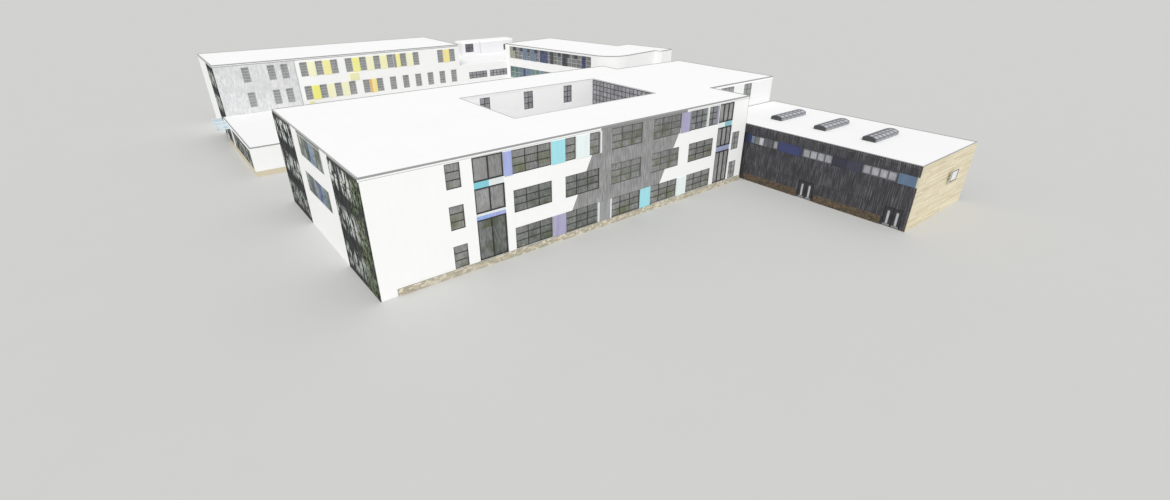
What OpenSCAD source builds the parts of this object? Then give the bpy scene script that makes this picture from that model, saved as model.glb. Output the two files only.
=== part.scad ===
/* [Main block] */
// Length of the front block along its long facade
front_len = 4680; // [4300:10:5700]
// Depth of the front block from its facade to its rear wall
front_depth = 2740; // [2500:10:3300]
// Height from one floor to the next
storey_h = 372; // [300:1:450]
// Height of the roof edge above the top floor
top_storey_h = 323; // [300:1:390]
// Thickness of the outer walls
wall_t = 30; // [24:1:36]
// Thickness of the upper floors
floor_t = 30; // [20:1:36]
// Thickness of the ground floor
base_t = 20; // [15:1:30]
// Thickness of the roofs
roof_t = 30; // [20:1:36]
// Height of the stone plinth
plinth_h = 65; // [50:1:80]
// How far the plinth stands out from the wall
plinth_out = 6; // [4:1:12]
// Distance from the left corner to the start of the plinth
plinth_x = 150; // [100:10:300]
// Width of the metal capping along the roof edges
trim_w = 10; // [6:1:15]
// Height of the metal capping
trim_h = 5; // [3:1:8]

/* [Windows] */
// Height of a window sill above its floor
sill_h = 65; // [55:1:80]
// Height of the windows
window_h = 222; // [180:1:225]
// Thickness of the glass
glass_t = 6; // [4:1:8]
// Distance from the left corner to the first wide bay
bay_x = 1315; // [1300:1:1500]
// Distance from one wide bay to the next
bay_pitch = 584; // [480:1:710]
// Width of a wide bay
bay_w = 425; // [350:1:470]
// Width of the two parts of the bay that a panel divides
split_w = 130; // [100:1:160]
// Distance from the left corner to the narrow window column
column_x = 682; // [400:1:720]
// Width of the narrow windows
column_w = 139; // [110:1:170]
// Distance from the left corner to the left curtain wall
curtain_x = 930; // [870:1:950]
// Width of the left curtain wall
curtain_w = 300; // [250:1:360]
// Width of the right curtain wall
right_curtain_w = 260; // [220:1:300]
// Width of the post between the last bay of the top storey and the curtain wall
post_w = 12; // [8:1:30]
// Height of the coloured bands in the curtain walls
band_h = 60; // [40:1:80]
// Width of the corner pier at the right of the facade
corner_pier_w = 275; // [220:1:400]
// Width of the glazed corners of the end wall
end_curtain_w = 765; // [500:1:850]
// Width of the ribbon windows in the end wall
ribbon_w = 790; // [600:1:900]
// Distance from the left corner to the first window in the yard wall
yard_x = 300; // [200:10:400]
// Distance from one window in the yard wall to the next
yard_pitch = 700; // [500:10:900]
// Thickness of the coloured panels
panel_t = 4; // [3:1:8]

/* [Light well] */
// Distance from the left corner to the light well
well_x = 1860; // [1600:10:2200]
// Distance from the facade to the light well
well_y = 800; // [700:10:1000]
// Length of the light well
well_len = 2020; // [1600:10:2300]
// Depth of the light well
well_depth = 1200; // [900:10:1300]
// Distance from the left wall of the light well to its first window
well_window_x = 255; // [100:5:300]
// Distance from one window of the light well to the next
well_pitch = 627; // [400:1:750]

/* [Hub] */
// Length of the hub beyond the front block
hub_len = 1350; // [1100:10:1650]
// Set-back of the hub behind the facade
hub_front = 600; // [500:10:750]
// Set-back of the hub from the rear wall of the front block
hub_rear = 340; // [200:10:400]

/* [Sports hall] */
// Width of the hall
hall_w = 1380; // [1200:10:1700]
// Gap between the front block and the hall
hall_gap = 70; // [40:5:120]
// How far the hall stands out in front of the facade
hall_out = 2060; // [1900:10:2500]
// Height of the hall roof
hall_h = 710; // [690:1:760]
// Distance from the front corner of the hall to its first doorway
door_at = 60; // [40:5:150]
// Distance from one doorway to the next
door_pitch = 1010; // [700:10:1200]
// Height of the window strip above the ground
strip_z = 485; // [440:1:520]
// Height of the window strip
strip_h = 110; // [80:1:130]
// Height of the brick base
brick_h = 90; // [70:1:110]
// Thickness of the brick base
brick_t = 6; // [4:1:9]
// Length of a rooflight
light_len = 550; // [450:10:700]
// Width of a rooflight
light_w = 155; // [130:5:200]
// Height of the kerb of a rooflight
light_h = 34; // [25:1:50]
// Rise of the vaulted glass of a rooflight
light_rise = 22; // [12:1:40]
// Distance from one rooflight to the next
light_pitch = 600; // [500:5:740]
// Distance from the front corner of the hall to the first rooflight
light_y = 695; // [500:5:900]
// Distance from the court side of the hall to the rooflights
light_x = 440; // [200:5:500]
// Width of the ball game board on the end wall
board_w = 170; // [150:1:200]
// Height of the ball game board
board_h = 120; // [100:1:140]
// How far the board stands out from the end wall
board_out = 40; // [20:1:80]

/* [Hall doors] */
// Width of one door leaf
leaf_w = 88; // [72:1:110]
// Height of a door leaf
leaf_h = 205; // [190:1:230]
// Thickness of a door leaf
leaf_t = 6; // [5:0.5:8]
// Gap around each leaf
leaf_gap = 5; // [4:0.5:6]
// Width of the vision strip in a leaf
vision_w = 24; // [16:1:30]
// Height of the vision strip in a leaf
vision_h = 145; // [110:1:155]
// Radius of the hinge pins
pin_r = 2; // [1.5:0.1:2.5]
// Radius of the hinge knuckles
knuckle_r = 3.5; // [3.2:0.1:4]

/* [Rear blocks] */
// Width of the yard between the front block and the rear wing
yard_w = 3210; // [2900:10:3900]
// Depth of the rear wing
rear_depth = 1500; // [1300:10:1800]
// Length of the rear wing
rear_len = 3980; // [3600:10:4300]
// How far the rear wing runs past the left corner
rear_out = 130; // [100:10:160]
// Extra height of the rear wing roof
rear_rise = 63; // [40:1:80]
// Distance from one rear wing window to the next
rear_pitch = 236; // [190:1:290]
// Width of a rear wing window
rear_window_w = 115; // [90:1:140]
// Distance from the left corner of the front block to the first panelled window of the rear wing
rear_x = 1060; // [1000:5:1200]
// Height of the rear wing's ground floor above the ground
rear_base = 35; // [30:1:60]
// Width of the glazed corner of the rear wing's end wall
rear_curtain_w = 600; // [400:10:700]
// Distance from the rear wing to the first window of the block beside it
terrace_x = 180; // [150:5:180]
// Width of the windows of the block beside the rear wing
terrace_window_w = 395; // [250:5:395]
// Distance from one of these windows to the next
terrace_pitch = 455; // [420:5:455]
// Height of these windows
terrace_window_h = 123; // [110:1:200]
// How far the block beside the rear wing runs on behind the right wing
terrace_past = 860; // [840:10:1000]
// Distance from the rear wing to the top storey of that block
top_x = 680; // [500:10:750]
// Depth of the top storey
top_depth = 300; // [200:10:500]
// Height of the top storey
top_h = 265; // [250:5:300]
// Width of the single-storey link
link_w = 1160; // [900:10:1400]
// Distance from the front block to the link
link_gap = 1180; // [900:10:1400]
// Height of the link roof
link_h = 383; // [360:1:420]
// Depth of the glass canopy beside the link
canopy_d = 160; // [120:10:240]
// Length of the glass canopy
canopy_len = 750; // [600:10:1100]
// How far the glass canopy runs past the rear wing's facade
canopy_past = 200; // [100:10:300]
// Height of the glass canopy above the ground
canopy_z = 320; // [280:5:350]
// Width of the covered passage from the hub to the right wing
passage_w = 300; // [240:5:360]
// Height of the covered passage
passage_h = 340; // [300:5:360]

/* [Right wing] */
// Distance from the front block to the corner of the right wing, along X
wing_past = 235; // [150:5:260]
// Width of the right wing
wing_w = 1255; // [1200:5:1400]
// Length of the right wing
wing_len = 2700; // [2500:10:2800]
// How far the right wing runs behind the rear wing's facade
wing_tail = 60; // [50:5:150]
// Angle between the right wing and the rest
wing_angle = 9.7; // [6:0.1:11]
// Outer radius of the rounded corner of the right wing
wing_r = 400; // [300:10:450]
// Width of the stair tower at the right wing
tower_w = 330; // [280:10:450]
// Length of the stair tower
tower_len = 1030; // [900:10:1200]
// Distance along the right wing to the stair tower
tower_start = 1800; // [1600:10:1900]

/* [Hidden] */
$fn = 96;
cut = 1;
storeys = [0:2];
// Heights
eaves_h = 2 * storey_h + top_storey_h;
wall_h = eaves_h - roof_t;
rear_h = eaves_h + rear_rise;
rear_wall_h = rear_h - roof_t;
link_wall_h = link_h - roof_t;
// Places in the plan, from the left front corner of the facade
hub_x1 = front_len + hub_len;
hub_y1 = front_depth - hub_rear;
hall_x = front_len + hall_gap;
hall_x1 = hall_x + hall_w;
pier_x = front_len - corner_pier_w;
right_curtain_x = pier_x - right_curtain_w;
far_curtain_y = front_depth - end_curtain_w;
rear_y = front_depth + yard_w;
rear_x1 = rear_len - rear_out;
wing_x = front_len + wing_past;
link_out = 40;
link_x = -rear_out - link_out;
link_x1 = link_x + link_w;
link_y = front_depth + link_gap;
terrace_x1 = wing_x + terrace_past;
top_x0 = rear_x1 + top_x;
tower_end = tower_start + tower_len;
// Overall box, so that the origin is at the middle of the base
x_min = link_x - canopy_d;
x_max = wing_x + (wing_w + tower_w) * cos(wing_angle) + tower_end * sin(wing_angle);
y_min = -hall_out - board_out;
y_max = rear_y + rear_depth;
top_y0 = y_max - top_depth;
origin_x = (x_min + x_max) / 2;
origin_y = (y_min + y_max) / 2;
// Doors
opening_w = 2 * leaf_w + 3 * leaf_gap;
opening_h = leaf_h + 2 * leaf_gap;
door_y = [for (i = [1, 0]) door_at + i * door_pitch - hall_out];
leaf_in = 2;
leaf_x = hall_x + leaf_in;
knuckle_out = 0.5;
pin_x = hall_x - knuckle_r - knuckle_out;
pin_gap = 0.08;
knuckle_l = 16;
knuckle_at = 30;
knuckle_z = [knuckle_at, leaf_h - knuckle_at - knuckle_l];

// Holes are [start, end, bottom, top] along a wall
function storey_hole(a, w, s, h = window_h) =
    [a, a + w, s * storey_h + sill_h, s * storey_h + sill_h + h];
// How many pieces of one width fit in a span at one pitch
function fit_count(span, w, pitch) = floor((span - w) / pitch) + 1;

// Facade, whose second bay a panel divides and whose last one runs on to the curtain wall at the top
bay_count = fit_count(right_curtain_x - post_w - bay_x, bay_w, bay_pitch);
last_bay = bay_count - 1;
pier_w = bay_pitch - bay_w;
function bay(i) = bay_x + i * bay_pitch;
function column_holes() = [for (s = storeys) storey_hole(column_x, column_w, s)];
function bay_holes() = [for (s = storeys, i = [0:last_bay])
    if (s < 2 || i != 1 && i != last_bay) storey_hole(bay(i), bay_w, s)];
function top_holes() = [storey_hole(bay(1), split_w, 2),
                        storey_hole(bay(1) + bay_w - split_w, split_w, 2),
                        storey_hole(bay(last_bay), right_curtain_x - post_w - bay(last_bay), 2)];
function pier_holes() = [for (s = [0:1]) storey_hole(pier_x + wall_t, column_w, s)];
function facade_holes() = concat(column_holes(), bay_holes(), top_holes(), pier_holes());
function curtain_holes() = [[curtain_x, curtain_x + curtain_w, plinth_h, wall_h],
                            [right_curtain_x, pier_x, plinth_h, wall_h]];
// Other walls of the front block
function ribbon_holes() = [for (s = [1:2]) storey_hole((front_depth - ribbon_w) / 2, ribbon_w, s)];
yard_count = fit_count(front_len - 2 * yard_x, bay_w, yard_pitch);
function yard_holes() = [for (s = storeys, i = [0:yard_count - 1])
    storey_hole(yard_x + i * yard_pitch, bay_w, s)];
well_count = fit_count(well_len - well_window_x, column_w, well_pitch);
function well_holes() = [for (s = storeys, i = [0:well_count - 1])
    storey_hole(well_x + well_window_x + i * well_pitch, column_w, s)];
well_edge = 20;
function well_glazed() = [[well_y + well_edge, well_y + well_depth - well_edge,
                           plinth_h, wall_h - well_edge / 2]];
// Hub, its front windows given by their start past the front block and their width
hub_windows = [[220, 270], [710, 170]];
function hub_front_holes() = [for (w = hub_windows) storey_hole(front_len + w[0], w[1], 2)];
function hub_rear_holes() = [for (s = storeys) storey_hole(front_len + hub_windows[0][0], bay_w, s)];
hub_count = fit_count(hub_y1 - hub_front - 2 * yard_x, bay_w, yard_pitch);
function hub_side_holes() = [for (s = storeys, i = [0:hub_count - 1])
    if (s == 2 || i > 0) storey_hole(hub_front + yard_x + i * yard_pitch, bay_w, s)];

// Puts a piece in the part's own frame
module placed() {
    translate([-origin_x, -origin_y, 0]) children();
}

// Holes through a wall along X, or along Y
module holes_along_x(y, holes) {
    for (o = holes) {
        translate([o[0], y - cut, o[2]]) cube([o[1] - o[0], wall_t + 2 * cut, o[3] - o[2]]);
    }
}

module holes_along_y(x, holes) {
    for (o = holes) {
        translate([x - cut, o[0], o[2]]) cube([wall_t + 2 * cut, o[1] - o[0], o[3] - o[2]]);
    }
}

// A wall along X, or along Y, with holes through it
module wall_along_x(x0, x1, y, z, h, holes = []) {
    difference() {
        translate([x0, y, z]) cube([x1 - x0, wall_t, h]);
        holes_along_x(y, holes);
    }
}

module wall_along_y(y0, y1, x, z, h, holes = []) {
    difference() {
        translate([x, y0, z]) cube([wall_t, y1 - y0, h]);
        holes_along_y(x, holes);
    }
}

// Sheets of glass that fill the holes, in the middle of the wall
glass_in = (wall_t - glass_t) / 2;
module glass_along_x(y, holes) {
    for (o = holes) {
        translate([o[0], y + glass_in, o[2]]) cube([o[1] - o[0], glass_t, o[3] - o[2]]);
    }
}

module glass_along_y(x, holes) {
    for (o = holes) {
        translate([x + glass_in, o[0], o[2]]) cube([glass_t, o[1] - o[0], o[3] - o[2]]);
    }
}

module area(x0, y0, x1, y1) {
    translate([x0, y0]) square([x1 - x0, y1 - y0]);
}

// Plan inside the walls of the front block and the hub
module floor_plan() {
    area(wall_t, wall_t, front_len - wall_t, front_depth - wall_t);
    area(front_len - wall_t - cut, hub_front + wall_t, hub_x1 - wall_t, hub_y1 - wall_t);
}

module roof_plan() {
    area(0, 0, front_len, front_depth);
    area(front_len - cut, hub_front, hub_x1, hub_y1);
}

module well_plan(out) {
    area(well_x - out, well_y - out, well_x + well_len + out, well_y + well_depth + out);
}

module ground_floor() {
    color("lightgray") placed() linear_extrude(base_t) floor_plan();
}

module upper_floors() {
    color("lightgray") placed() for (s = [1:2]) {
        translate([0, 0, s * storey_h - floor_t]) linear_extrude(floor_t) difference() {
            floor_plan();
            well_plan(wall_t);
        }
    }
}

module main_roof() {
    color("white") placed() translate([0, 0, wall_h]) linear_extrude(roof_t) difference() {
        roof_plan();
        well_plan(0);
    }
}

module front_wall() {
    color("white") placed()
        wall_along_x(glass_t, front_len, 0, 0, wall_h, concat(facade_holes(), curtain_holes()));
}

module yard_wall() {
    color("white") placed()
        wall_along_x(glass_t, front_len, front_depth - wall_t, 0, wall_h, yard_holes());
}

module side_walls() {
    color("white") placed() {
        wall_along_y(end_curtain_w, far_curtain_y, 0, 0, wall_h, ribbon_holes());
        wall_along_y(wall_t, hub_front + wall_t, front_len - wall_t, 0, wall_h);
        wall_along_y(hub_y1 - wall_t, front_depth - wall_t, front_len - wall_t, 0, wall_h);
    }
}

module plinth() {
    color("tan") placed() translate([plinth_x, -plinth_out, 0])
        cube([front_len - plinth_x, plinth_out, plinth_h]);
}

module facade_windows() {
    color("slategray") placed() glass_along_x(0, facade_holes());
}

module side_windows() {
    color("slategray") placed() {
        glass_along_y(0, ribbon_holes());
        glass_along_x(front_depth - wall_t, yard_holes());
        glass_along_x(hub_front, hub_front_holes());
        glass_along_x(hub_y1 - wall_t, hub_rear_holes());
        glass_along_y(hub_x1 - wall_t, hub_side_holes());
        glass_along_y(link_x1 - wall_t, link_holes());
    }
}

// Curtain walls of the facade, of the two glazed corners of the end wall, of the rear wing and the link
module curtain_walls() {
    color("darkslategray") placed() {
        glass_along_x(0, curtain_holes());
        for (y = [0, far_curtain_y]) translate([0, y, 0]) cube([glass_t, end_curtain_w, wall_h]);
        translate([-rear_out, rear_y, 0]) cube([glass_t, rear_curtain_w, rear_wall_h]);
        glass_along_y(link_x, link_glazed());
    }
}

// A coloured panel on a wall along X, over a hole's place
module panel_along_x(y, hole) {
    translate([hole[0], y - panel_t, hole[2]]) cube([hole[1] - hole[0], panel_t, hole[3] - hole[2]]);
}

// Coloured panels on the piers and in the divided bay, and the bands in the curtain walls
band_up = [90, 12];
module front_panels() {
    panel_along_x(0, storey_hole(curtain_x + curtain_w, bay_x - curtain_x - curtain_w, 2));
    for (i = [0, last_bay - 1]) panel_along_x(0, storey_hole(bay(i) + bay_w, pier_w, 2));
    for (i = [0:last_bay - 1]) panel_along_x(0, storey_hole(bay(i) + bay_w, pier_w, 0));
    panel_along_x(0, storey_hole(bay(1) + split_w, bay_w - 2 * split_w, 2));
    for (o = curtain_holes(), s = [1:2]) {
        z = s * storey_h + band_up[s - 1];
        panel_along_x(glass_in, [o[0], o[1], z, z + band_h]);
    }
}

// Coloured panels of the rear wing, each given by the window at its left and the storey
rear_panel_at = [for (i = [0, 1, 3, 4, 5, 6, 7, 10]) [i, 2], for (i = [0, 1, 2, 4]) [i, 1]];
module rear_panels() {
    for (p = rear_panel_at) if (p[0] < rear_count - 1) {
        panel_along_x(rear_y, rear_raised([storey_hole(rear_window(p[0]) + rear_window_w,
                                                       rear_pitch - rear_window_w, p[1])])[0]);
    }
}

module facade_panels() {
    color("lightblue") placed() front_panels();
    color("khaki") placed() rear_panels();
}

module well_long_walls() {
    color("white") placed() for (y = [well_y - wall_t, well_y + well_depth]) {
        wall_along_x(well_x - wall_t, well_x + well_len + wall_t, y, base_t, wall_h - base_t, well_holes());
    }
}

module well_short_walls() {
    color("white") placed() {
        wall_along_y(well_y, well_y + well_depth, well_x - wall_t, base_t, wall_h - base_t);
        wall_along_y(well_y, well_y + well_depth, well_x + well_len, base_t, wall_h - base_t,
                     well_glazed());
    }
}

module well_windows() {
    color("slategray") placed() {
        for (y = [well_y - wall_t, well_y + well_depth]) glass_along_x(y, well_holes());
        glass_along_y(well_x + well_len, well_glazed());
    }
}

module hub_cross_walls() {
    color("white") placed() {
        wall_along_x(front_len, hub_x1, hub_front, 0, wall_h, hub_front_holes());
        wall_along_x(front_len, hub_x1, hub_y1 - wall_t, 0, wall_h, hub_rear_holes());
    }
}

module hub_side_wall() {
    color("white") placed()
        wall_along_y(hub_front + wall_t, hub_y1 - wall_t, hub_x1 - wall_t, 0, wall_h, hub_side_holes());
}

// Sports hall, its window strip given along Y from its front corner
strip_panes = [[210, 580], [920, 1290], [1615, 1690], [1815, 1995]];
strip_panels = [[20, 200], [590, 910], [1310, 1605], [2005, 2060]];
function strip_holes(spans) = [for (o = spans)
    [o[0] - hall_out, o[1] - hall_out, strip_z, strip_z + strip_h]];

module hall_floor() {
    color("lightgray") placed() translate([hall_x + wall_t, wall_t - hall_out, 0])
        cube([hall_w - 2 * wall_t, hall_out + hub_front - 2 * wall_t, base_t]);
}

module hall_lower_wall() {
    color("dimgray") placed() {
        wall_along_y(wall_t - hall_out, door_y[1], hall_x, 0, opening_h);
        wall_along_y(door_y[1] + opening_w, door_y[0], hall_x, 0, opening_h);
        wall_along_y(door_y[0] + opening_w, hub_front - wall_t, hall_x, 0, opening_h);
    }
}

module hall_upper_wall() {
    color("dimgray") placed()
        wall_along_y(wall_t - hall_out, hub_front - wall_t, hall_x, opening_h,
                     hall_h - roof_t - opening_h, strip_holes(strip_panes));
}

module hall_end_walls() {
    color("wheat") placed() for (y = [-hall_out, hub_front - wall_t]) {
        wall_along_x(hall_x, hall_x1, y, 0, hall_h - roof_t);
    }
}

module hall_far_wall() {
    color("dimgray") placed()
        wall_along_y(wall_t - hall_out, hub_front - wall_t, hall_x1 - wall_t, 0, hall_h - roof_t,
                     strip_holes(strip_panes));
}

// Rooflights over holes in the roof, as many as fit
light_count = fit_count(hall_out + hub_front - light_y - wall_t, light_w, light_pitch);
module at_rooflights(z) {
    for (i = [0:light_count - 1]) {
        translate([hall_x + light_x, light_y + i * light_pitch - hall_out, z]) children();
    }
}

module hall_roof() {
    color("white") placed() difference() {
        translate([hall_x, -hall_out, hall_h - roof_t]) cube([hall_w, hall_out + hub_front, roof_t]);
        at_rooflights(hall_h - roof_t - cut) translate([wall_t, wall_t, 0])
            cube([light_len - 2 * wall_t, light_w - 2 * wall_t, roof_t + 2 * cut]);
    }
}

// Rooflights: an open kerb with a vault of glass on it, closed by its two end plates
kerb_t = 12;
vault_r = (light_w * light_w / 4 + light_rise * light_rise) / (2 * light_rise);
module vault_segment(r) {
    intersection() {
        translate([light_w / 2, light_rise - vault_r]) circle(r);
        square([light_w, light_rise]);
    }
}

module rooflight_kerbs() {
    color("dimgray") placed() at_rooflights(hall_h) {
        difference() {
            cube([light_len, light_w, light_h]);
            translate([kerb_t, kerb_t, -cut])
                cube([light_len - 2 * kerb_t, light_w - 2 * kerb_t, light_h + 2 * cut]);
        }
        for (x = [0, light_len - glass_t]) {
            translate([x, 0, light_h]) rotate([90, 0, 90]) linear_extrude(glass_t) vault_segment(vault_r);
        }
    }
}

module rooflight_glass() {
    color("darkslategray") placed() at_rooflights(hall_h) translate([glass_t, 0, light_h]) {
        rotate([90, 0, 90]) linear_extrude(light_len - 2 * glass_t) difference() {
            vault_segment(vault_r);
            vault_segment(vault_r - glass_t);
        }
    }
}

module hall_windows() {
    color("silver") placed() for (x = [hall_x, hall_x1 - wall_t]) {
        glass_along_y(x, strip_holes(strip_panes));
    }
}

module hall_panels() {
    color("steelblue") placed() for (o = strip_holes(strip_panels)) {
        translate([hall_x - panel_t, o[0], o[2]]) cube([panel_t, o[1] - o[0], strip_h]);
    }
}

brick_gap = 20;
brick_spans = [[door_y[1] + opening_w + brick_gap, door_y[0] - brick_gap],
               [door_y[0] + opening_w + brick_gap, -brick_gap]];
module brick_base() {
    color("peru") placed() for (s = brick_spans) {
        translate([hall_x - brick_t, s[0], 0]) cube([brick_t, s[1] - s[0], brick_h]);
    }
}

// Board for ball games, on two arms from the end wall
board_x = 740;
board_z = 390;
board_t = 5;
arm_w = 6;
module ball_board() {
    color("white") placed() translate([hall_x + board_x, -hall_out, board_z]) {
        translate([0, -board_out, 0]) cube([board_w, board_t, board_h]);
        for (x = [board_w / 4, 3 * board_w / 4 - arm_w]) {
            translate([x, board_t - board_out - cut, board_h / 3])
                cube([arm_w, board_out - board_t + cut, arm_w]);
        }
    }
}

// Hall doors, each leaf hung on two pins beside its jamb
frame_w = 8;
frame_d = 12;
arm_t = 3;
arm_gap = 1;
arm_l = 3 * leaf_gap;
module hinge_arms(y, side) {
    for (z = knuckle_z) {
        z0 = leaf_gap + z;
        translate([pin_x, y, z0 - arm_t - arm_gap])
            cylinder(h = knuckle_l + 2 * (arm_t + arm_gap), r = pin_r);
        for (e = [-arm_t - arm_gap, knuckle_l + arm_gap]) {
            translate([pin_x, y, z0 + e]) cylinder(h = arm_t, r = knuckle_r);
            translate([pin_x - cut, side > 0 ? y - arm_l : y, z0 + e])
                cube([hall_x - pin_x + cut, arm_l, arm_t]);
        }
    }
}

module door_frames() {
    color("black") placed() for (y = door_y) {
        hinge_arms(y + leaf_gap, 1);
        hinge_arms(y + opening_w - leaf_gap, -1);
        translate([leaf_x + 2 * leaf_t, y, 0]) difference() {
            cube([frame_d, opening_w, opening_h]);
            translate([-cut, frame_w, -cut])
                cube([frame_d + 2 * cut, opening_w - 2 * frame_w, opening_h - frame_w + cut]);
        }
    }
}

// A pull bar on two stand-offs, near the free edge of the leaf
pull_edge = 12;
pull_out = 6;
pull_r = 1.6;
pull_h = 60;
pull_z = 75;
module pull_bar() {
    translate([leaf_x - pull_out, leaf_w - pull_edge, leaf_gap + pull_z]) {
        cylinder(h = pull_h, r = pull_r);
        for (z = [pull_edge, pull_h - pull_edge]) {
            translate([0, 0, z]) rotate([0, 90, 0]) cylinder(h = pull_out + cut, r = pull_r / 2);
        }
    }
}

// One leaf, drawn from its hinge edge towards the middle of the doorway
vision_t = 3;
vision_z = 25;
vision_y = (leaf_w - vision_w) / 2;
module leaf_shape() {
    difference() {
        union() {
            translate([leaf_x, 0, leaf_gap]) cube([leaf_t, leaf_w, leaf_h]);
            pull_bar();
            for (z = knuckle_z) {
                translate([pin_x, 0, leaf_gap + z]) cylinder(h = knuckle_l, r = knuckle_r);
                translate([pin_x, 0, leaf_gap + z]) cube([leaf_x - pin_x + cut, 2 * knuckle_r, knuckle_l]);
            }
        }
        translate([leaf_x - cut, vision_y, leaf_gap + vision_z])
            cube([leaf_t + 2 * cut, vision_w, vision_h]);
        for (z = knuckle_z) {
            translate([pin_x, 0, leaf_gap + z - cut]) cylinder(h = knuckle_l + 2 * cut, r = pin_r + pin_gap);
        }
    }
}

module vision_glass() {
    translate([leaf_x + (leaf_t - vision_t) / 2, vision_y, leaf_gap + vision_z])
        cube([vision_t, vision_w, vision_h]);
}

// Puts a leaf at its jamb, mirrored for the far jamb
module at_jamb(y, side) {
    placed() translate([0, side > 0 ? y + leaf_gap : y + opening_w - leaf_gap, 0])
        mirror([0, side > 0 ? 0 : 1, 0]) children();
}

module leaf_1() { color("black") at_jamb(door_y[0], 1) leaf_shape(); }
module leaf_2() { color("black") at_jamb(door_y[0], -1) leaf_shape(); }
module leaf_3() { color("black") at_jamb(door_y[1], 1) leaf_shape(); }
module leaf_4() { color("black") at_jamb(door_y[1], -1) leaf_shape(); }
module leaf_glass_1() { color("silver") at_jamb(door_y[0], 1) vision_glass(); }
module leaf_glass_2() { color("silver") at_jamb(door_y[0], -1) vision_glass(); }
module leaf_glass_3() { color("silver") at_jamb(door_y[1], 1) vision_glass(); }
module leaf_glass_4() { color("silver") at_jamb(door_y[1], -1) vision_glass(); }

// Rear wing, with three windows before the panelled row and one left out at the top
rear_side_x = [240, 595, 785];
rear_side_w = 105;
rear_blank = 9;
rear_count = fit_count(rear_x1 - rear_x - wall_t, rear_window_w, rear_pitch);
function rear_window(i) = rear_x + i * rear_pitch;
function rear_raised(holes) = [for (o = holes) [o[0], o[1], o[2] + rear_base, o[3] + rear_base]];
function rear_holes() = rear_raised([for (s = storeys) each concat(
    [for (x = rear_side_x) storey_hole(x, rear_side_w, s)],
    [for (i = [0:rear_count - 1]) if (s < 2 || i != rear_blank)
        storey_hole(rear_window(i), rear_window_w, s)])]);

module rear_long_walls() {
    color("white") placed() {
        wall_along_x(glass_t - rear_out, rear_x1, rear_y, 0, rear_wall_h, rear_holes());
        wall_along_x(-rear_out, rear_x1, y_max - wall_t, 0, rear_wall_h, rear_holes());
    }
}

module rear_end_walls() {
    color("white") placed() {
        wall_along_y(rear_y + rear_curtain_w, y_max - wall_t, -rear_out, 0, rear_wall_h);
        wall_along_y(rear_y + wall_t, y_max - wall_t, rear_x1 - wall_t, 0, rear_wall_h);
    }
}

// Floors of the rear wing, the block beside it and the link
function rear_floor_z(s) = s * storey_h + rear_base - floor_t;
module rear_floors() {
    color("lightgray") placed() {
        for (s = storeys) translate([wall_t - rear_out, rear_y + wall_t, rear_floor_z(s)])
            cube([rear_len - 2 * wall_t, rear_depth - 2 * wall_t, floor_t]);
        for (s = [0:1]) translate([0, 0, rear_floor_z(s)]) linear_extrude(floor_t) intersection() {
            terrace_plan();
            area(rear_x1, rear_y + wall_t, terrace_x1 - wall_t, y_max - wall_t);
        }
        translate([link_x + wall_t, link_y + wall_t, 0])
            cube([link_w - 2 * wall_t, rear_y - link_y - wall_t, base_t]);
    }
}

module rear_roof() {
    color("white") placed() translate([-rear_out, rear_y, rear_wall_h])
        cube([rear_len, rear_depth, roof_t]);
}

module rear_windows() {
    color("slategray") placed() {
        for (y = [rear_y, y_max - wall_t]) glass_along_x(y, rear_holes());
        for (y = [rear_y, y_max - wall_t]) glass_along_x(y, terrace_low_holes());
        glass_along_x(top_y0, terrace_top_holes());
    }
}

// Single-storey link with a glass canopy at its side
link_pitch = (rear_y - link_y) / 3;
link_edge = 60;
link_head = 20;
link_post_w = 40;
function link_holes() = [for (i = [0:2]) [link_y + i * link_pitch + 2 * link_edge,
    link_y + (i + 1) * link_pitch - 2 * link_edge, sill_h, sill_h + window_h]];
canopy_y = rear_y + canopy_past - canopy_len;
function link_glazed() = [
    [link_y + link_edge, canopy_y - link_post_w, sill_h, link_wall_h - link_head],
    [canopy_y, rear_y - link_edge, sill_h, link_wall_h - link_head]];
module link_walls() {
    color("white") placed() {
        wall_along_x(link_x, link_x1, link_y, 0, link_wall_h);
        wall_along_y(link_y + wall_t, rear_y, link_x, 0, link_wall_h, link_glazed());
        wall_along_y(link_y + wall_t, rear_y, link_x1 - wall_t, 0, link_wall_h, link_holes());
    }
}

module link_roof() {
    color("white") placed() translate([link_x, link_y, link_h - roof_t])
        cube([link_w, rear_y - link_y, roof_t]);
}

canopy_t = 8;
module link_canopy() {
    color("lightblue") placed() translate([link_x - canopy_d, canopy_y, canopy_z])
        cube([canopy_d, canopy_len, canopy_t]);
}

// Block between the rear wing and the right wing, with a smaller storey set back on its roof
module in_wing() {
    translate([wing_x, rear_y, 0]) rotate([0, 0, wing_angle]) children();
}

module in_wing_plan() {
    translate([wing_x, rear_y]) rotate(wing_angle) children();
}

module terrace_plan() {
    difference() {
        area(rear_x1, rear_y, terrace_x1, y_max);
        in_wing_plan() wing_outline(0);
    }
}

terrace_low = 2 * storey_h;
terrace_top = terrace_low + top_h;
terrace_sill_up = 117;
terrace_count = fit_count(wing_x - wall_t - rear_x1 - terrace_x, terrace_window_w, terrace_pitch);
function terrace_low_holes() = [for (i = [0:terrace_count - 1])
    let (x = rear_x1 + terrace_x + i * terrace_pitch, z = storey_h + terrace_sill_up)
    [x, x + terrace_window_w, z, z + terrace_window_h]];
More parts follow.
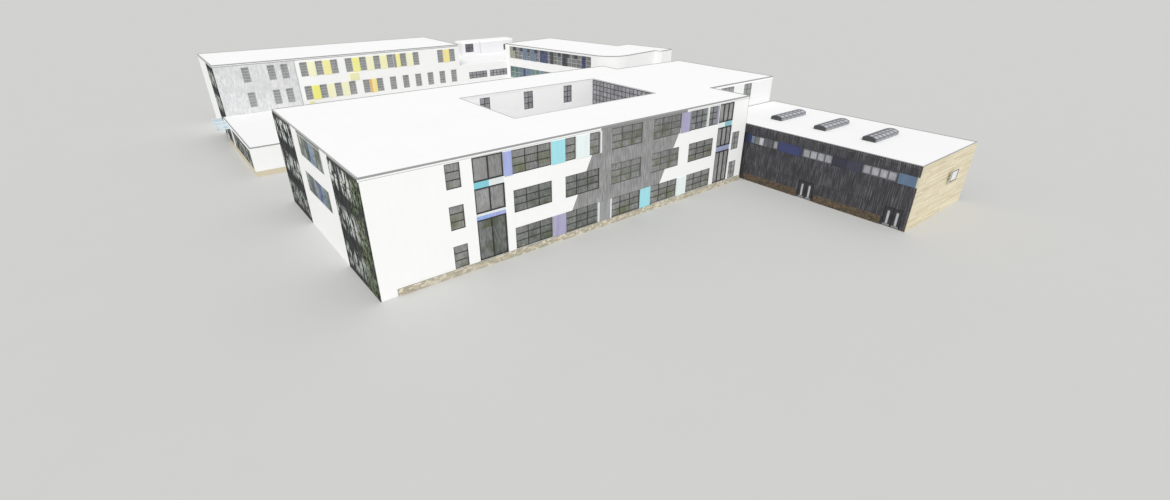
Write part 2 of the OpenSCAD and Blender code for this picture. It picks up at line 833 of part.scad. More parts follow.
// The two windows of the top storey: start past its left corner, width, sill above the roof and height
top_windows = [[80, 190, 56, 165], [1010, 100, 40, 120]];
function terrace_top_holes() = [for (w = top_windows) if (top_x0 + w[0] + w[1] < terrace_x1 - wall_t)
    [top_x0 + w[0], top_x0 + w[0] + w[1], terrace_low + w[2], terrace_low + w[2] + w[3]]];
module terrace_walls() {
    color("white") placed() {
        difference() {
            linear_extrude(terrace_low - roof_t) difference() {
                terrace_plan();
                area(rear_x1 - cut, rear_y + wall_t, terrace_x1 - wall_t, y_max - wall_t);
            }
            for (y = [rear_y, y_max - wall_t]) holes_along_x(y, terrace_low_holes());
        }
        difference() {
            translate([0, 0, terrace_low]) linear_extrude(top_h - roof_t) difference() {
                area(top_x0, top_y0, terrace_x1, y_max);
                area(top_x0 + wall_t, top_y0 + wall_t, terrace_x1 - wall_t, y_max - wall_t);
            }
            holes_along_x(top_y0, terrace_top_holes());
        }
    }
}

module terrace_roofs() {
    color("white") placed() {
        translate([0, 0, terrace_low - roof_t]) linear_extrude(roof_t) terrace_plan();
        translate([0, 0, terrace_top - roof_t]) linear_extrude(roof_t)
            area(top_x0, top_y0, terrace_x1, y_max);
    }
}

// Right wing with a rounded corner and a stair tower
module wing_outline(inset) {
    r = wing_r - inset;
    difference() {
        area(inset, inset - wing_len, wing_w - inset, wing_tail - inset);
        area(inset - cut, inset - wing_len - cut, inset + r, inset - wing_len + r);
    }
    translate([inset + r, inset - wing_len + r]) circle(r);
}

module tower_outline(inset) {
    area(wing_w - (inset > 0 ? 0 : cut), -tower_end + inset, wing_w + tower_w - inset, -tower_start - inset);
}

// Ribbons of glass in its left wall, single windows in its right wall and one tall window in the tower
wing_gap = 60;
ribbon_gap = 90;
wing_count = fit_count(tower_start - 2 * wing_gap, bay_w, bay_pitch);
function wing_ribbons() = [for (s = storeys)
    storey_hole(wing_r + ribbon_gap - wing_len, wing_len - wing_r - ribbon_gap - wing_gap, s)];
function wing_side_holes() = [for (s = storeys, i = [0:wing_count - 1])
    storey_hole(wing_gap - tower_start + i * bay_pitch, bay_w, s)];
function tower_holes() = [[-tower_start - (tower_len + column_w) / 2,
                           -tower_start - (tower_len - column_w) / 2, sill_h, wall_h - sill_h]];
module wing_walls() {
    color("white") placed() in_wing() difference() {
        linear_extrude(wall_h) difference() {
            union() {
                wing_outline(0);
                tower_outline(0);
            }
            wing_outline(wall_t);
            tower_outline(wall_t);
        }
        holes_along_y(0, wing_ribbons());
        holes_along_y(wing_w - wall_t, wing_side_holes());
        holes_along_y(wing_w + tower_w - wall_t, tower_holes());
    }
}

module wing_floors() {
    color("lightgray") placed() in_wing() {
        linear_extrude(base_t) {
            wing_outline(wall_t);
            tower_outline(wall_t);
        }
        for (s = [1:2]) {
            translate([0, 0, s * storey_h - floor_t]) linear_extrude(floor_t) wing_outline(wall_t);
        }
    }
}

module wing_roof() {
    color("white") placed() in_wing() translate([0, 0, wall_h]) linear_extrude(roof_t) {
        wing_outline(0);
        tower_outline(0);
    }
}

module wing_windows() {
    color("teal") placed() in_wing() {
        glass_along_y(0, wing_ribbons());
        glass_along_y(wing_w - wall_t, wing_side_holes());
        glass_along_y(wing_w + tower_w - wall_t, tower_holes());
    }
}

// Metal capping along the roof edges
module capping(z) {
    translate([0, 0, z]) linear_extrude(trim_h) difference() {
        children(0);
        children(1);
    }
}

module roof_trim() {
    color("gray") placed() {
        capping(eaves_h) {
            roof_plan();
            union() {
                area(trim_w, trim_w, front_len - trim_w, front_depth - trim_w);
                area(front_len - 2 * trim_w, hub_front + trim_w, hub_x1 - trim_w, hub_y1 - trim_w);
            }
        }
        capping(eaves_h) {
            well_plan(trim_w);
            well_plan(0);
        }
        capping(hall_h) {
            area(hall_x, -hall_out, hall_x1, hub_front);
            area(hall_x + trim_w, -hall_out + trim_w, hall_x1 - trim_w, hub_front - trim_w);
        }
        capping(rear_h) {
            area(-rear_out, rear_y, rear_x1, y_max);
            area(-rear_out + trim_w, rear_y + trim_w, rear_x1 - trim_w, y_max - trim_w);
        }
        capping(link_h) {
            area(link_x, link_y, link_x1, rear_y);
            area(link_x + trim_w, link_y + trim_w, link_x1 - trim_w, rear_y + cut);
        }
        capping(eaves_h) {
            in_wing_plan() {
                wing_outline(0);
                tower_outline(0);
            }
            in_wing_plan() {
                wing_outline(trim_w);
                area(wing_w - 2 * trim_w, trim_w - tower_end,
                     wing_w + tower_w - trim_w, -tower_start - trim_w);
            }
        }
    }
}

// Covered passage from the hub to the right wing
passage_t = 20;
module passage() {
    passage_x1 = hub_x1 - wall_t;
    color("white") placed() difference() {
        linear_extrude(passage_h) difference() {
            area(passage_x1 - passage_w, hub_y1, passage_x1, rear_y);
            in_wing_plan() {
                wing_outline(0);
                area(-wing_w, wing_r - wing_len, 2 * wing_w, wing_len);
            }
        }
        translate([passage_x1 - passage_w + passage_t, hub_y1 - cut, -cut])
            cube([passage_w - 2 * passage_t, yard_w, passage_h - passage_t + cut]);
    }
}

ground_floor();
upper_floors();
main_roof();
front_wall();
yard_wall();
side_walls();
plinth();
facade_windows();
side_windows();
curtain_walls();
facade_panels();
roof_trim();
well_long_walls();
well_short_walls();
well_windows();
hub_cross_walls();
hub_side_wall();
hall_floor();
hall_lower_wall();
hall_upper_wall();
hall_end_walls();
hall_far_wall();
hall_roof();
rooflight_kerbs();
rooflight_glass();
hall_windows();
hall_panels();
brick_base();
ball_board();
door_frames();
leaf_1();
leaf_2();
leaf_3();
leaf_4();
leaf_glass_1();
leaf_glass_2();
leaf_glass_3();
leaf_glass_4();
rear_long_walls();
rear_end_walls();
rear_floors();
rear_roof();
rear_windows();
link_walls();
link_roof();
link_canopy();
terrace_walls();
terrace_roofs();
wing_walls();
wing_floors();
wing_roof();
wing_windows();
passage();
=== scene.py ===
import math
from collections import namedtuple
from functools import partialmethod

import bpy
import numpy as np
from mathutils import Matrix, Vector


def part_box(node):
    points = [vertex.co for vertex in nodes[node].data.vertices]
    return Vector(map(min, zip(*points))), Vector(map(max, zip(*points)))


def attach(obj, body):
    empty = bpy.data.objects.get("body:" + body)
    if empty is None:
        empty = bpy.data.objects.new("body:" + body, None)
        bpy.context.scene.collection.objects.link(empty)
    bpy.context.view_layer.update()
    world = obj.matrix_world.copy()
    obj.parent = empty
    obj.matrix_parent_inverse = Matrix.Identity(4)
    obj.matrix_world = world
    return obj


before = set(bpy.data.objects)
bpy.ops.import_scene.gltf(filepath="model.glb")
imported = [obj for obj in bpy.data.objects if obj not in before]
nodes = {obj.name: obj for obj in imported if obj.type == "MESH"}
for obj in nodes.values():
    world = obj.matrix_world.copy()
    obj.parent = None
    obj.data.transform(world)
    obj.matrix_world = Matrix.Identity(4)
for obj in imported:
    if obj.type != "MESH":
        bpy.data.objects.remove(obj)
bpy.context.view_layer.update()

scene = bpy.context.scene

# The model is one to ten. Places are given in real metres from the front left corner at the ground
REAL = 0.1
FAR = 999.0
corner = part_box("main_roof")[0]
WING_TURN = math.radians(9.7)
WING_CORNER = (49.15, 59.5)


def at(x, y, z=0.0):
    """A point given in real metres."""
    return Vector((corner.x + x * REAL, corner.y + y * REAL, z * REAL))


wing_pivot = at(*WING_CORNER)


# Node trees
class Value:
    """One output of a node, with the sums that can be written with it."""

    def __init__(self, tree, socket):
        self.tree = tree
        self.socket = socket

    def calc(self, operation, *others):
        return outlet(self.tree, "ShaderNodeMath", dict(enumerate((self, *others))), operation=operation)

    __add__ = partialmethod(calc, "ADD")
    __sub__ = partialmethod(calc, "SUBTRACT")
    __mul__ = partialmethod(calc, "MULTIPLY")
    __truediv__ = partialmethod(calc, "DIVIDE")
    __mod__ = partialmethod(calc, "MODULO")
    __gt__ = partialmethod(calc, "GREATER_THAN")
    __lt__ = partialmethod(calc, "LESS_THAN")
    __abs__ = partialmethod(calc, "ABSOLUTE")
    fraction = partialmethod(calc, "FRACT")

    def __rsub__(self, other):
        return outlet(self.tree, "ShaderNodeMath", {0: other, 1: self}, operation="SUBTRACT")

    def stretch(self, low, high):
        """Spreads the part between two limits over 0 to 1."""
        return outlet(self.tree, "ShaderNodeMapRange", {0: self, 1: low, 2: high})

    def equals(self, other):
        """1 where two whole numbers are the same."""
        return self.calc("COMPARE", other, 0.1)

    def mix(self, a, b):
        """Mixes two colours: the first where this value is 0, the second where it is 1."""
        return outlet(self.tree, "ShaderNodeMix", {0: self, 6: a, 7: b}, 2, data_type="RGBA")


def feed(value, socket):
    """Links an output to an input, or sets the input to a plain value."""
    if isinstance(value, Value):
        value.tree.links.new(value.socket, socket)
    else:
        socket.default_value = value


def put(tree, kind, values=None, **settings):
    """Adds a node, gives it its settings, and sets or links its inputs."""
    made = tree.nodes.new(kind)
    for key, setting in settings.items():
        setattr(made, key, setting)
    for key, value in (values or {}).items():
        feed(value, made.inputs[key])
    return made


def outlets(tree, kind, values=None, **settings):
    """Adds a node and gives all its outputs."""
    return [Value(tree, socket) for socket in put(tree, kind, values, **settings).outputs]


def outlet(tree, kind, values=None, which=0, **settings):
    """Adds a node and gives one of its outputs."""
    return Value(tree, put(tree, kind, values, **settings).outputs[which])


def vector(tree, operation, values):
    return outlet(tree, "ShaderNodeVectorMath", values, operation=operation)


def join(tree, x=0.0, y=0.0, z=0.0):
    return outlet(tree, "ShaderNodeCombineXYZ", {0: x, 1: y, 2: z})


def split(point):
    return outlets(point.tree, "ShaderNodeSeparateXYZ", {0: point})


def colour(red, green=None, blue=None):
    """A colour given as it looks on a screen, from 0 to 255. One number gives a grey."""
    def linear(v):
        v /= 255
        return v / 12.92 if v <= 0.04045 else ((v + 0.055) / 1.055) ** 2.4
    return (linear(red), linear(red if green is None else green), linear(red if blue is None else blue), 1.0)


def new_group(name, kind, inputs, outputs):
    """A node group: its tree, the values that it is given and the sockets that it gives out."""
    tree = bpy.data.node_groups.new(name, kind)
    for label, socket, default in inputs:
        made = tree.interface.new_socket(label, in_out="INPUT", socket_type="NodeSocket" + socket)
        if default is not None:
            made.default_value = default
    for label, socket in outputs:
        tree.interface.new_socket(label, in_out="OUTPUT", socket_type="NodeSocket" + socket)
    source = put(tree, "NodeGroupInput").outputs
    given = {label: Value(tree, source[label]) for label, socket, default in inputs}
    return tree, given, put(tree, "NodeGroupOutput").inputs


# Shader groups
def make_weathering():
    """Soft patches and faint vertical streaks over a colour, and a fine grain to feel."""
    tree, given, out = new_group("weathering", "ShaderNodeTree", [
        ("Colour", "Color", None), ("Patches", "Float", 0.05), ("Streaks", "Float", 0.05),
        ("Grain", "Float", 60.0)], [("Colour", "Color"), ("Height", "Float")])
    place = outlet(tree, "ShaderNodeTexCoord", which="Object")
    tall = outlet(tree, "ShaderNodeMapping", {"Vector": place, "Scale": (22.0, 22.0, 1.3)})
    patches = outlet(tree, "ShaderNodeTexNoise", {"Vector": place, "Scale": 2.2, "Detail": 5.0})
    streaks = outlet(tree, "ShaderNodeTexNoise", {"Vector": tall, "Scale": 1.0, "Detail": 4.0})
    grain = outlet(tree, "ShaderNodeTexNoise", {"Vector": place, "Scale": given["Grain"], "Detail": 3.0})
    dark = (patches - 0.5) * given["Patches"] + (streaks - 0.5) * given["Streaks"]
    feed(vector(tree, "SCALE", {0: given["Colour"], 3: dark.calc("MULTIPLY_ADD", 2.0, 1.0)}), out["Colour"])
    feed(grain, out["Height"])
    return tree


def make_seams():
    """Joints at an even pitch along one direction: 1 in the joint and 0 elsewhere."""
    tree, given, out = new_group("seams", "ShaderNodeTree", [
        ("Along", "Float", 0.0), ("Pitch", "Float", 0.1), ("Width", "Float", 0.1)], [("Joint", "Float")])
    away = abs((given["Along"] / given["Pitch"]).fraction() - 0.5)
    feed(away.stretch(0.5 - given["Width"], 0.5), out["Joint"])
    return tree


def make_hatching():
    """Fine uneven upright lines, as on brushed or finely ribbed sheet."""
    tree, given, out = new_group("hatching", "ShaderNodeTree", [
        ("Fineness", "Float", 60.0), ("Height", "Float", 2.5)], [("Line", "Float")])
    place = outlet(tree, "ShaderNodeTexCoord", which="Object")
    scale = join(tree, given["Fineness"], given["Fineness"], given["Height"])
    tall = vector(tree, "MULTIPLY", {0: place, 1: scale})
    lines = outlet(tree, "ShaderNodeTexNoise", {"Vector": tall, "Scale": 1.0, "Detail": 3.0, "Roughness": 0.6})
    feed(lines.stretch(0.35, 0.65), out["Line"])
    return tree


def make_zone():
    """Lays one colour over another inside a box between two points."""
    tree, given, out = new_group("zone", "ShaderNodeTree", [
        ("Place", "Vector", None), ("Low", "Vector", None), ("High", "Vector", None),
        ("Under", "Color", None), ("Over", "Color", None)], [("Colour", "Color")])
    mask = None
    for place, low, high in zip(*(split(given[label]) for label in ("Place", "Low", "High"))):
        for inside in (place > low, high > place):
            mask = inside if mask is None else mask * inside
    feed(mask.mix(given["Under"], given["Over"]), out["Colour"])
    return tree


WEATHERING = make_weathering()
SEAMS = make_seams()
HATCHING = make_hatching()
ZONE = make_zone()
MATERIALS = {}


class Finish:
    """A material under way: its tree, its shader and the position that its patterns read."""

    def __init__(self, key, roughness, metallic=0.0, specular=0.5, name=None):
        self.key = key
        self.material = bpy.data.materials.new(name or key)
        self.material.use_nodes = True
        self.tree = self.material.node_tree
        self.tree.nodes.clear()
        self.shader = put(self.tree, "ShaderNodeBsdfPrincipled", {
            "Roughness": roughness, "Metallic": metallic, "Specular IOR Level": specular})
        put(self.tree, "ShaderNodeOutputMaterial", {"Surface": Value(self.tree, self.shader.outputs[0])})
        self.place = outlet(self.tree, "ShaderNodeTexCoord", which="Object")
        moved = vector(self.tree, "SUBTRACT", {0: self.place, 1: (corner.x, corner.y, 0.0)})
        self.metres = vector(self.tree, "SCALE", {0: moved, 3: 1 / REAL})
        self.x, self.y, self.z = split(self.metres)

    def hatch(self, fineness, height=2.5):
        return outlet(self.tree, "ShaderNodeGroup", {"Fineness": fineness, "Height": height}, node_tree=HATCHING)

    def seams(self, along, pitch, width):
        return outlet(self.tree, "ShaderNodeGroup", {"Along": along, "Pitch": pitch, "Width": width}, node_tree=SEAMS)

    def zone(self, under, over, x=(-FAR, FAR), y=(-FAR, FAR), z=(-FAR, FAR)):
        """Lays a colour over another inside a box given in real metres."""
        low, high = zip(x, y, z)
        return outlet(self.tree, "ShaderNodeGroup", {
            "Place": self.metres, "Low": low, "High": high, "Under": under, "Over": over}, node_tree=ZONE)

    def noise(self, scale, low=0.4, high=0.7):
        made = outlet(self.tree, "ShaderNodeTexNoise", {"Vector": self.place, "Scale": scale, "Detail": 4.0})
        return made.stretch(low, high)

    def tone(self):
        """The tone that each pane, board or brick carries."""
        return outlet(self.tree, "ShaderNodeAttribute", which="Fac", attribute_name="tone")

    def facing(self):
        """The way that the surface faces, as its three parts."""
        return split(outlet(self.tree, "ShaderNodeNewGeometry", which="Normal"))

    def paint(self, tone, patches=0.02, streaks=0.015, grain=220.0, bump=0.08):
        """Ends the material: weathers the tone and gives it its grain."""
        worn, height = outlets(self.tree, "ShaderNodeGroup", {
            "Colour": tone, "Patches": patches, "Streaks": streaks, "Grain": grain}, node_tree=WEATHERING)
        feed(worn, self.shader.inputs["Base Color"])
        rough = outlet(self.tree, "ShaderNodeBump", {"Strength": bump, "Distance": 0.002, "Height": height})
        feed(rough, self.shader.inputs["Normal"])
        MATERIALS[self.key] = self.material


# Colours of the building
WHITE = colour(248, 248, 247)
BRIGHT = colour(246)
EDGE_GREY = colour(156, 157, 158)
PALE_EDGE = colour(158, 158, 160)
CHARCOAL = colour(60, 59, 64)
CYAN = colour(154, 222, 232)
PALE = colour(232, 244, 243)
VIOLET = colour(160, 172, 224)
PURPLE = colour(164, 158, 192)
PERIWINKLE = colour(150, 160, 216)
SKY = colour(140, 170, 226)
YELLOW = colour(244, 242, 118)
SOFT_YELLOW = colour(248, 240, 160)
CREAM = colour(247, 246, 204)
GOLD = colour(248, 230, 146)
AMBER = colour(232, 178, 92)

# Heights of the storeys and of the windows in them
STOREY = 3.72
EAVES = 10.67
HALL_EAVES = 7.1
REAR_EAVES = 11.3
REAR_LINE = 11.1
LINK_EAVES = 3.83
WINDOW_LOW = 0.65
WINDOW_HIGH = 2.87
TOP_LOW = WINDOW_LOW + 2 * STOREY
TOP_HIGH = WINDOW_HIGH + 2 * STOREY

# Parts of the building with their own tone, or with painted shade, shadow or reflection. A side of the painted shadow
# band on the front wall is its start and its lean
SHADOW_BAND_LEFT = (18.42, 0.474)
SHADOW_BAND_RIGHT = (30.6, 0.5)
REAR_GREY_END = 9.9
LIGHT_WELL = {"x": (18.3, 39.1), "y": (7.7, 20.3)}
FRONT = (-1.0, 1.0)
END_FACE = (-1.0, 0.05)
TOP_STOREY_FROM = 70.0
TAN_BASE_TOP = 0.7
CAPPING_DEPTH = 0.1
CAPPING = (EAVES - CAPPING_DEPTH, EAVES + 0.01)
SHADOW_LINE = (EAVES - 0.27, EAVES - 0.22)
END_WALL_TOPS = ((colour(78, 82, 76), (0.05, 7.6)), (colour(118, 122, 116), (9.75, 17.5)),
                 (colour(84, 86, 84), (19.8, 27.4)))
# Where the painted green reflection in the corner glass fades out, going back from the front corner.
GREEN_REFLECTION_BAND = (4.2, 1.6)


def facade_render():
    """White render with a painted shadow band across the front wall, whose two sides lean as a cast shadow's edges do.
    """
    made = Finish("facade_render", 0.85)
    left, right = (made.z.calc("MULTIPLY_ADD", lean, start) for start, lean in (SHADOW_BAND_LEFT, SHADOW_BAND_RIGHT))
    inside = (made.x > left) * (made.x < right) * (made.y < 0.1)
    grey = made.hatch(110.0, 8.0).mix(colour(122), colour(168))
    grey = (made.noise(12.0, 0.45) * 0.5).mix(grey, colour(132, 132, 133))
    made.paint(inside.mix(WHITE, grey))


def rear_render():
    """White render, and finely lined grey sheet over the left part of the rear wing's front."""
    made = Finish("rear_render", 0.8)
    grey = made.hatch(70.0, 14.0).mix(colour(205, 205, 206), colour(231, 231, 232))
    grey = (made.noise(9.0, 0.45) * 0.6).mix(grey, colour(196, 197, 198))
    made.paint(made.zone(WHITE, grey, x=(-FAR, REAR_GREY_END)), streaks=0.02)


def terrace_render():
    """White render, with painted shade that makes the top storey at the back duller."""
    made = Finish("terrace_render", 0.85)
    made.paint(made.zone(WHITE, colour(228, 228, 230), y=(TOP_STOREY_FROM, FAR)), patches=0.03, streaks=0.03)


def link_render():
    """White render over a tan base."""
    made = Finish("link_render", 0.85)
    base = made.noise(90.0).mix(colour(204, 194, 168), colour(224, 214, 190))
    made.paint(made.zone(WHITE, base, z=(-FAR, TAN_BASE_TOP)), streaks=0.02, bump=0.1)


def roof_membrane():
    """Pale roof sheets with faint welded seams, and a folded grey capping over a fine line at the roof's edge."""
    made = Finish("roof_membrane", 0.9)
    sheet = made.zone(BRIGHT, colour(243), z=(-FAR, HALL_EAVES + 0.5))
    top = made.seams(made.x, 2.0, 0.012).mix(sheet, colour(238))
    side = WHITE
    for eaves in (HALL_EAVES, EAVES, REAR_EAVES, LINK_EAVES, REAR_LINE):
        side = made.zone(side, EDGE_GREY, z=(eaves - CAPPING_DEPTH, eaves + 0.01))
    side = made.zone(side, colour(188), y=FRONT, z=SHADOW_LINE)
    # The painted shadow band across the front wall runs on up the roof's edge above it.
    side = made.zone(side, colour(140), x=(23.4, 35.8), y=FRONT, z=(10.0, CAPPING[0]))
    side = made.zone(side, PALE_EDGE, y=(57.0, FAR), z=(REAR_EAVES - CAPPING_DEPTH, REAR_EAVES + 0.01))
    side = made.zone(side, colour(172, 172, 174), x=(44.0, FAR), y=(33.0, FAR), z=CAPPING)
    side = made.zone(side, WHITE, **LIGHT_WELL)
    for shade, y in END_WALL_TOPS:
        side = made.zone(side, shade, x=END_FACE, y=y, z=(10.3, CAPPING[0]))
    side = made.zone(side, colour(176), x=END_FACE, y=(-1.0, 28.0), z=CAPPING)
    made.paint((made.facing()[2] > 0.5).mix(side, top), patches=0.015, streaks=0.0, grain=150.0, bump=0.06)


def edge_metal():
    """Grey capping round each roof, paler round the light well and along the end wall."""
    made = Finish("edge_metal", 0.5, metallic=0.1)
    tone = made.zone(EDGE_GREY, colour(196), **LIGHT_WELL)
    tone = made.zone(tone, colour(180), x=(-1.0, 0.4), y=(0.3, 28.0))
    made.paint(tone, patches=0.1, streaks=0.0, grain=90.0, bump=0.05)


def rooflight_kerb():
    """End plates painted dark as shade, and paler long sides with a dark rib at each pane."""
    made = Finish("kerb_metal", 0.5, metallic=0.2)
    long_side = abs(made.facing()[1]) > 0.5
    ribbed = made.seams(made.x, 0.9, 0.16).mix(colour(156, 157, 162), colour(112, 113, 118))
    made.paint(long_side.mix(colour(70, 71, 72), ribbed), patches=0.1, streaks=0.05, grain=120.0, bump=0.05)


def corner_glass():
    """Dark corner curtain walls with painted reflections: clusters of pale streaks at each storey, and green near the
    corner.
    """
    made = Finish("corner", 0.25, specular=0.0, name="corner_panes")
    glints = made.noise(30.0, 0.38, 0.62).mix(colour(38, 47, 33), colour(128, 138, 114))
    green = made.y.stretch(*GREEN_REFLECTION_BAND) * made.noise(8.0, 0.35, 0.5)
    base = green.mix(made.hatch(60.0, 10.0).mix(colour(44, 46, 47), colour(86, 88, 89)), glints)
    phase = ((made.z + 0.15) / STOREY).fraction()
    storey = 1.0 - abs(phase - 0.5).stretch(0.24, 0.36)
    reflected_streak = made.hatch(20.0, 9.0).stretch(0.42, 0.62)
    more_above = made.z.calc("MULTIPLY_ADD", 0.055, 0.46)
    place = made.noise(8.0, 0.36, 0.46) * storey * more_above * made.y.stretch(0.5, 3.2)
    made.paint((reflected_streak * place).mix(base, colour(222, 227, 221)), patches=0.06, streaks=0.06, grain=30.0, bump=0.02)


def facade_colours():
    """Coloured infill panels, each with fine upright lines."""
    made = Finish("facade_colours", 0.5)
    top, ground = (TOP_LOW - 0.1, TOP_HIGH + 0.1), (WINDOW_LOW - 0.1, WINDOW_HIGH + 0.1)
    tone = PALE
    for shade, x, z in (
            (VIOLET, (12.25, 13.2), top), (CYAN, (17.3, 19.05), top), (PURPLE, (34.85, 36.55), top),
            # The grey panel low down from 23.2 to 24.9 is a pale panel painted grey as shade, where the painted shadow
            # band crosses it.
            (PURPLE, (17.3, 19.05), ground), (colour(142, 143, 144), (23.2, 24.9), ground),
            (CYAN, (29.05, 30.7), ground),
            (colour(224, 230, 230), (9.2, 12.35), (4.98, 8.2)), (colour(118, 200, 214), (9.2, 10.8), (7.5, 8.2)),
            (SKY, (9.2, 10.8), (4.6, 4.98)), (PERIWINKLE, (10.8, 12.35), (4.6, 4.98)),
            (colour(130, 190, 200), (42.75, 44.1), (7.5, 8.2)), (colour(150, 156, 190), (41.4, 44.1), (4.6, 5.25)),
            (colour(110, 110, 114), (36.3, 36.55), top)):
        tone = made.zone(tone, shade, x=x, y=FRONT, z=z)
    rear, upper, lower = (50.0, 62.0), (8.2, 10.8), (4.6, 7.0)
    tone = made.zone(tone, CREAM, y=rear)
    for shade, x, z in (
            (SOFT_YELLOW, (14.0, 15.4), upper), (colour(243, 241, 140), (18.7, 20.1), upper),
            (colour(249, 244, 190), (23.5, 24.9), upper), (SOFT_YELLOW, (25.8, 27.2), upper),
            (GOLD, (35.2, 36.6), upper), (YELLOW, (11.6, 13.0), lower), (GOLD, (21.1, 22.5), lower),
            (AMBER, (21.1, 21.55), lower), (colour(140, 140, 142), (25.8, 26.35), upper)):
        tone = made.zone(tone, shade, x=x, y=rear, z=z)
    made.paint((made.hatch(70.0, 4.0) * 0.14).mix(tone, BRIGHT), patches=0.04, streaks=0.08, grain=90.0, bump=0.05)


def hall_colours():
    """Blue panels in the hall's window strip."""
    made = Finish("hall_colours", 0.4)
    tone = colour(62, 70, 116)
    for shade, y in ((colour(100, 124, 150), (-21.0, -18.4)), (colour(64, 64, 82), (-15.0, -13.2)),
                     (colour(50, 50, 68), (-13.2, -11.4)), (colour(48, 68, 106), (-0.6, 1.0))):
        tone = made.zone(tone, shade, y=y)
    lines = (made.hatch(60.0, 4.0) * 0.25).mix(tone, CHARCOAL)
    made.paint(lines, patches=0.08, streaks=0.1, grain=90.0, bump=0.05)


def canopy_pane():
    made = Finish("canopy", 0.15, specular=0.6, name="canopy_pane")
    tone = made.noise(12.0, 0.3).mix(colour(176, 204, 216), colour(214, 230, 236))
    made.paint(tone, patches=0.05, streaks=0.0, grain=20.0, bump=0.02)


def painted_metal(key, name, tone, roughness=0.45, specular=0.5):
    made = Finish(key, roughness, metallic=0.2 if specular else 0.0, specular=specular, name=name)
    made.paint(colour(*tone), patches=0.08, streaks=0.06, grain=120.0, bump=0.05)


def pane_glass(key, dark, light, reflected, roughness=0.12, tint=0.8, specular=0.6, low_tint=False):
    """Glass seen from outside: dark rooms with uneven painted reflections, and a tone for each pane.

    With the reflections kept low, the painted reflections of a second colour lie in the lower part of each storey's
    windows."""
    made = Finish(key, roughness, specular=specular, name=key.replace("_glass", "") + "_panes")
    mixed = made.tone() * 0.35 + made.noise(14.0, 0.3) * 0.25
    mixed = made.hatch(75.0, 16.0).calc("MULTIPLY_ADD", 0.4, mixed)
    place = made.noise(6.0, 0.45, 0.65) * tint
    if low_tint:
        place = place * (1.0 - (made.z / STOREY).fraction().stretch(0.35, 0.7))
    seen = place.mix(mixed.mix(colour(*dark), colour(*light)), colour(*reflected))
    made.paint(seen, patches=0.06, streaks=0.06, grain=30.0, bump=0.02)


def toned(key, name, dark, light, other, roughness=0.8, patches=0.08, bump=0.25, fine=0.0, pale_streaks=0.0):
    """Boards, bricks or stones, each with its own tone between two shades, some of a third, and pale upright streaks.
    """
    made = Finish(key, roughness, name=name)
    tone = made.tone()
    odd = (tone * 7.0).fraction().stretch(0.55, 1.0)
    seen = odd.mix(tone.mix(colour(*dark), colour(*light)), colour(*other))
    if fine:
        seen = (made.hatch(fine, 3.0) * 0.3).mix(seen, colour(*dark))
    if pale_streaks:
        streaks = made.hatch(110.0, 5.0).stretch(0.4, 1.0) * made.noise(9.0, 0.25, 0.65)
        seen = (streaks * pale_streaks).mix(seen, colour(140, 140, 144))
    made.paint(seen, patches, patches, 120.0, bump)


for make in (facade_render, rear_render, terrace_render, link_render, roof_membrane, edge_metal, rooflight_kerb,
             corner_glass, facade_colours, hall_colours, canopy_pane):
    make()
Finish("white_render", 0.85).paint(WHITE)
# The light well's walls are painted whiter than the other white render: painted light against the shade inside the
# well.
Finish("well_render", 0.85).paint(colour(254), patches=0.01, streaks=0.01)
# The hub's walls are painted a duller white than the rest: painted shade against the light thrown up from the hall's
# white roof.
Finish("hub_render", 0.85).paint(colour(235))
Finish("slab_concrete", 0.85).paint(colour(190, 190, 187), patches=0.1, streaks=0.03, grain=80.0, bump=0.2)
Finish("pale_floor", 0.95).paint(colour(203, 203, 201), patches=0.01, streaks=0.0, grain=60.0, bump=0.0)

for key, name, *look in (
        ("bars", "bar_paint", (56, 57, 56)), ("field_bars", "field_bar_paint", (94, 95, 94)),
        ("mid_bars", "mid_bar_paint", (104, 105, 106)), ("pale_bars", "pale_bar_paint", (186, 188, 188)),
        ("dull_bars", "dull_bar_paint", (62, 63, 62), 0.8, 0.0), ("lilac", "lilac_metal", (172, 166, 182)),
        ("ribs", "rib_metal", (72, 73, 74)), ("vault", "vault_metal", (118, 119, 125)),
        ("white_metal", "white_metal", (240, 241, 241)), ("spandrel", "spandrel_paint", (249, 245, 196)),
        ("door", "door_paint", (58, 57, 60)), ("steel", "plain_steel", (150, 151, 152), 0.35)):
    painted_metal(key, name, *look)

# Each kind of glass: its dark, its light and its second colour, which is a painted reflection
WINDOW_GLASS = {
    "grey": ((88, 90, 92), (166, 169, 172), (120, 123, 118)),
    "curtain": ((104, 104, 104), (180, 181, 181), (136, 133, 132)),
    "well": ((108, 106, 112), (190, 188, 194), (142, 140, 146)),
    "rear_glass": ((104, 105, 106), (182, 183, 185), (144, 146, 140)),
    "wing_glass": ((76, 77, 78), (150, 151, 151), (112, 113, 106)),
    "teal": ((64, 92, 92), (132, 158, 156), (92, 118, 114)),
    "olive_light": ((140, 138, 128), (196, 194, 184), (160, 158, 140)),
    "steel_glass": ((90, 106, 130), (134, 150, 166), (108, 124, 144)),
    "smoked": ((70, 70, 76), (118, 118, 124), (92, 92, 98), 0.4),
    "milky": ((132, 132, 138), (196, 196, 202), (158, 158, 164), 0.3),
    "roof_glass": ((150, 151, 156), (214, 215, 220), (178, 179, 186)),
    "vision": ((170, 172, 176), (222, 224, 226), (196, 198, 200)),
}
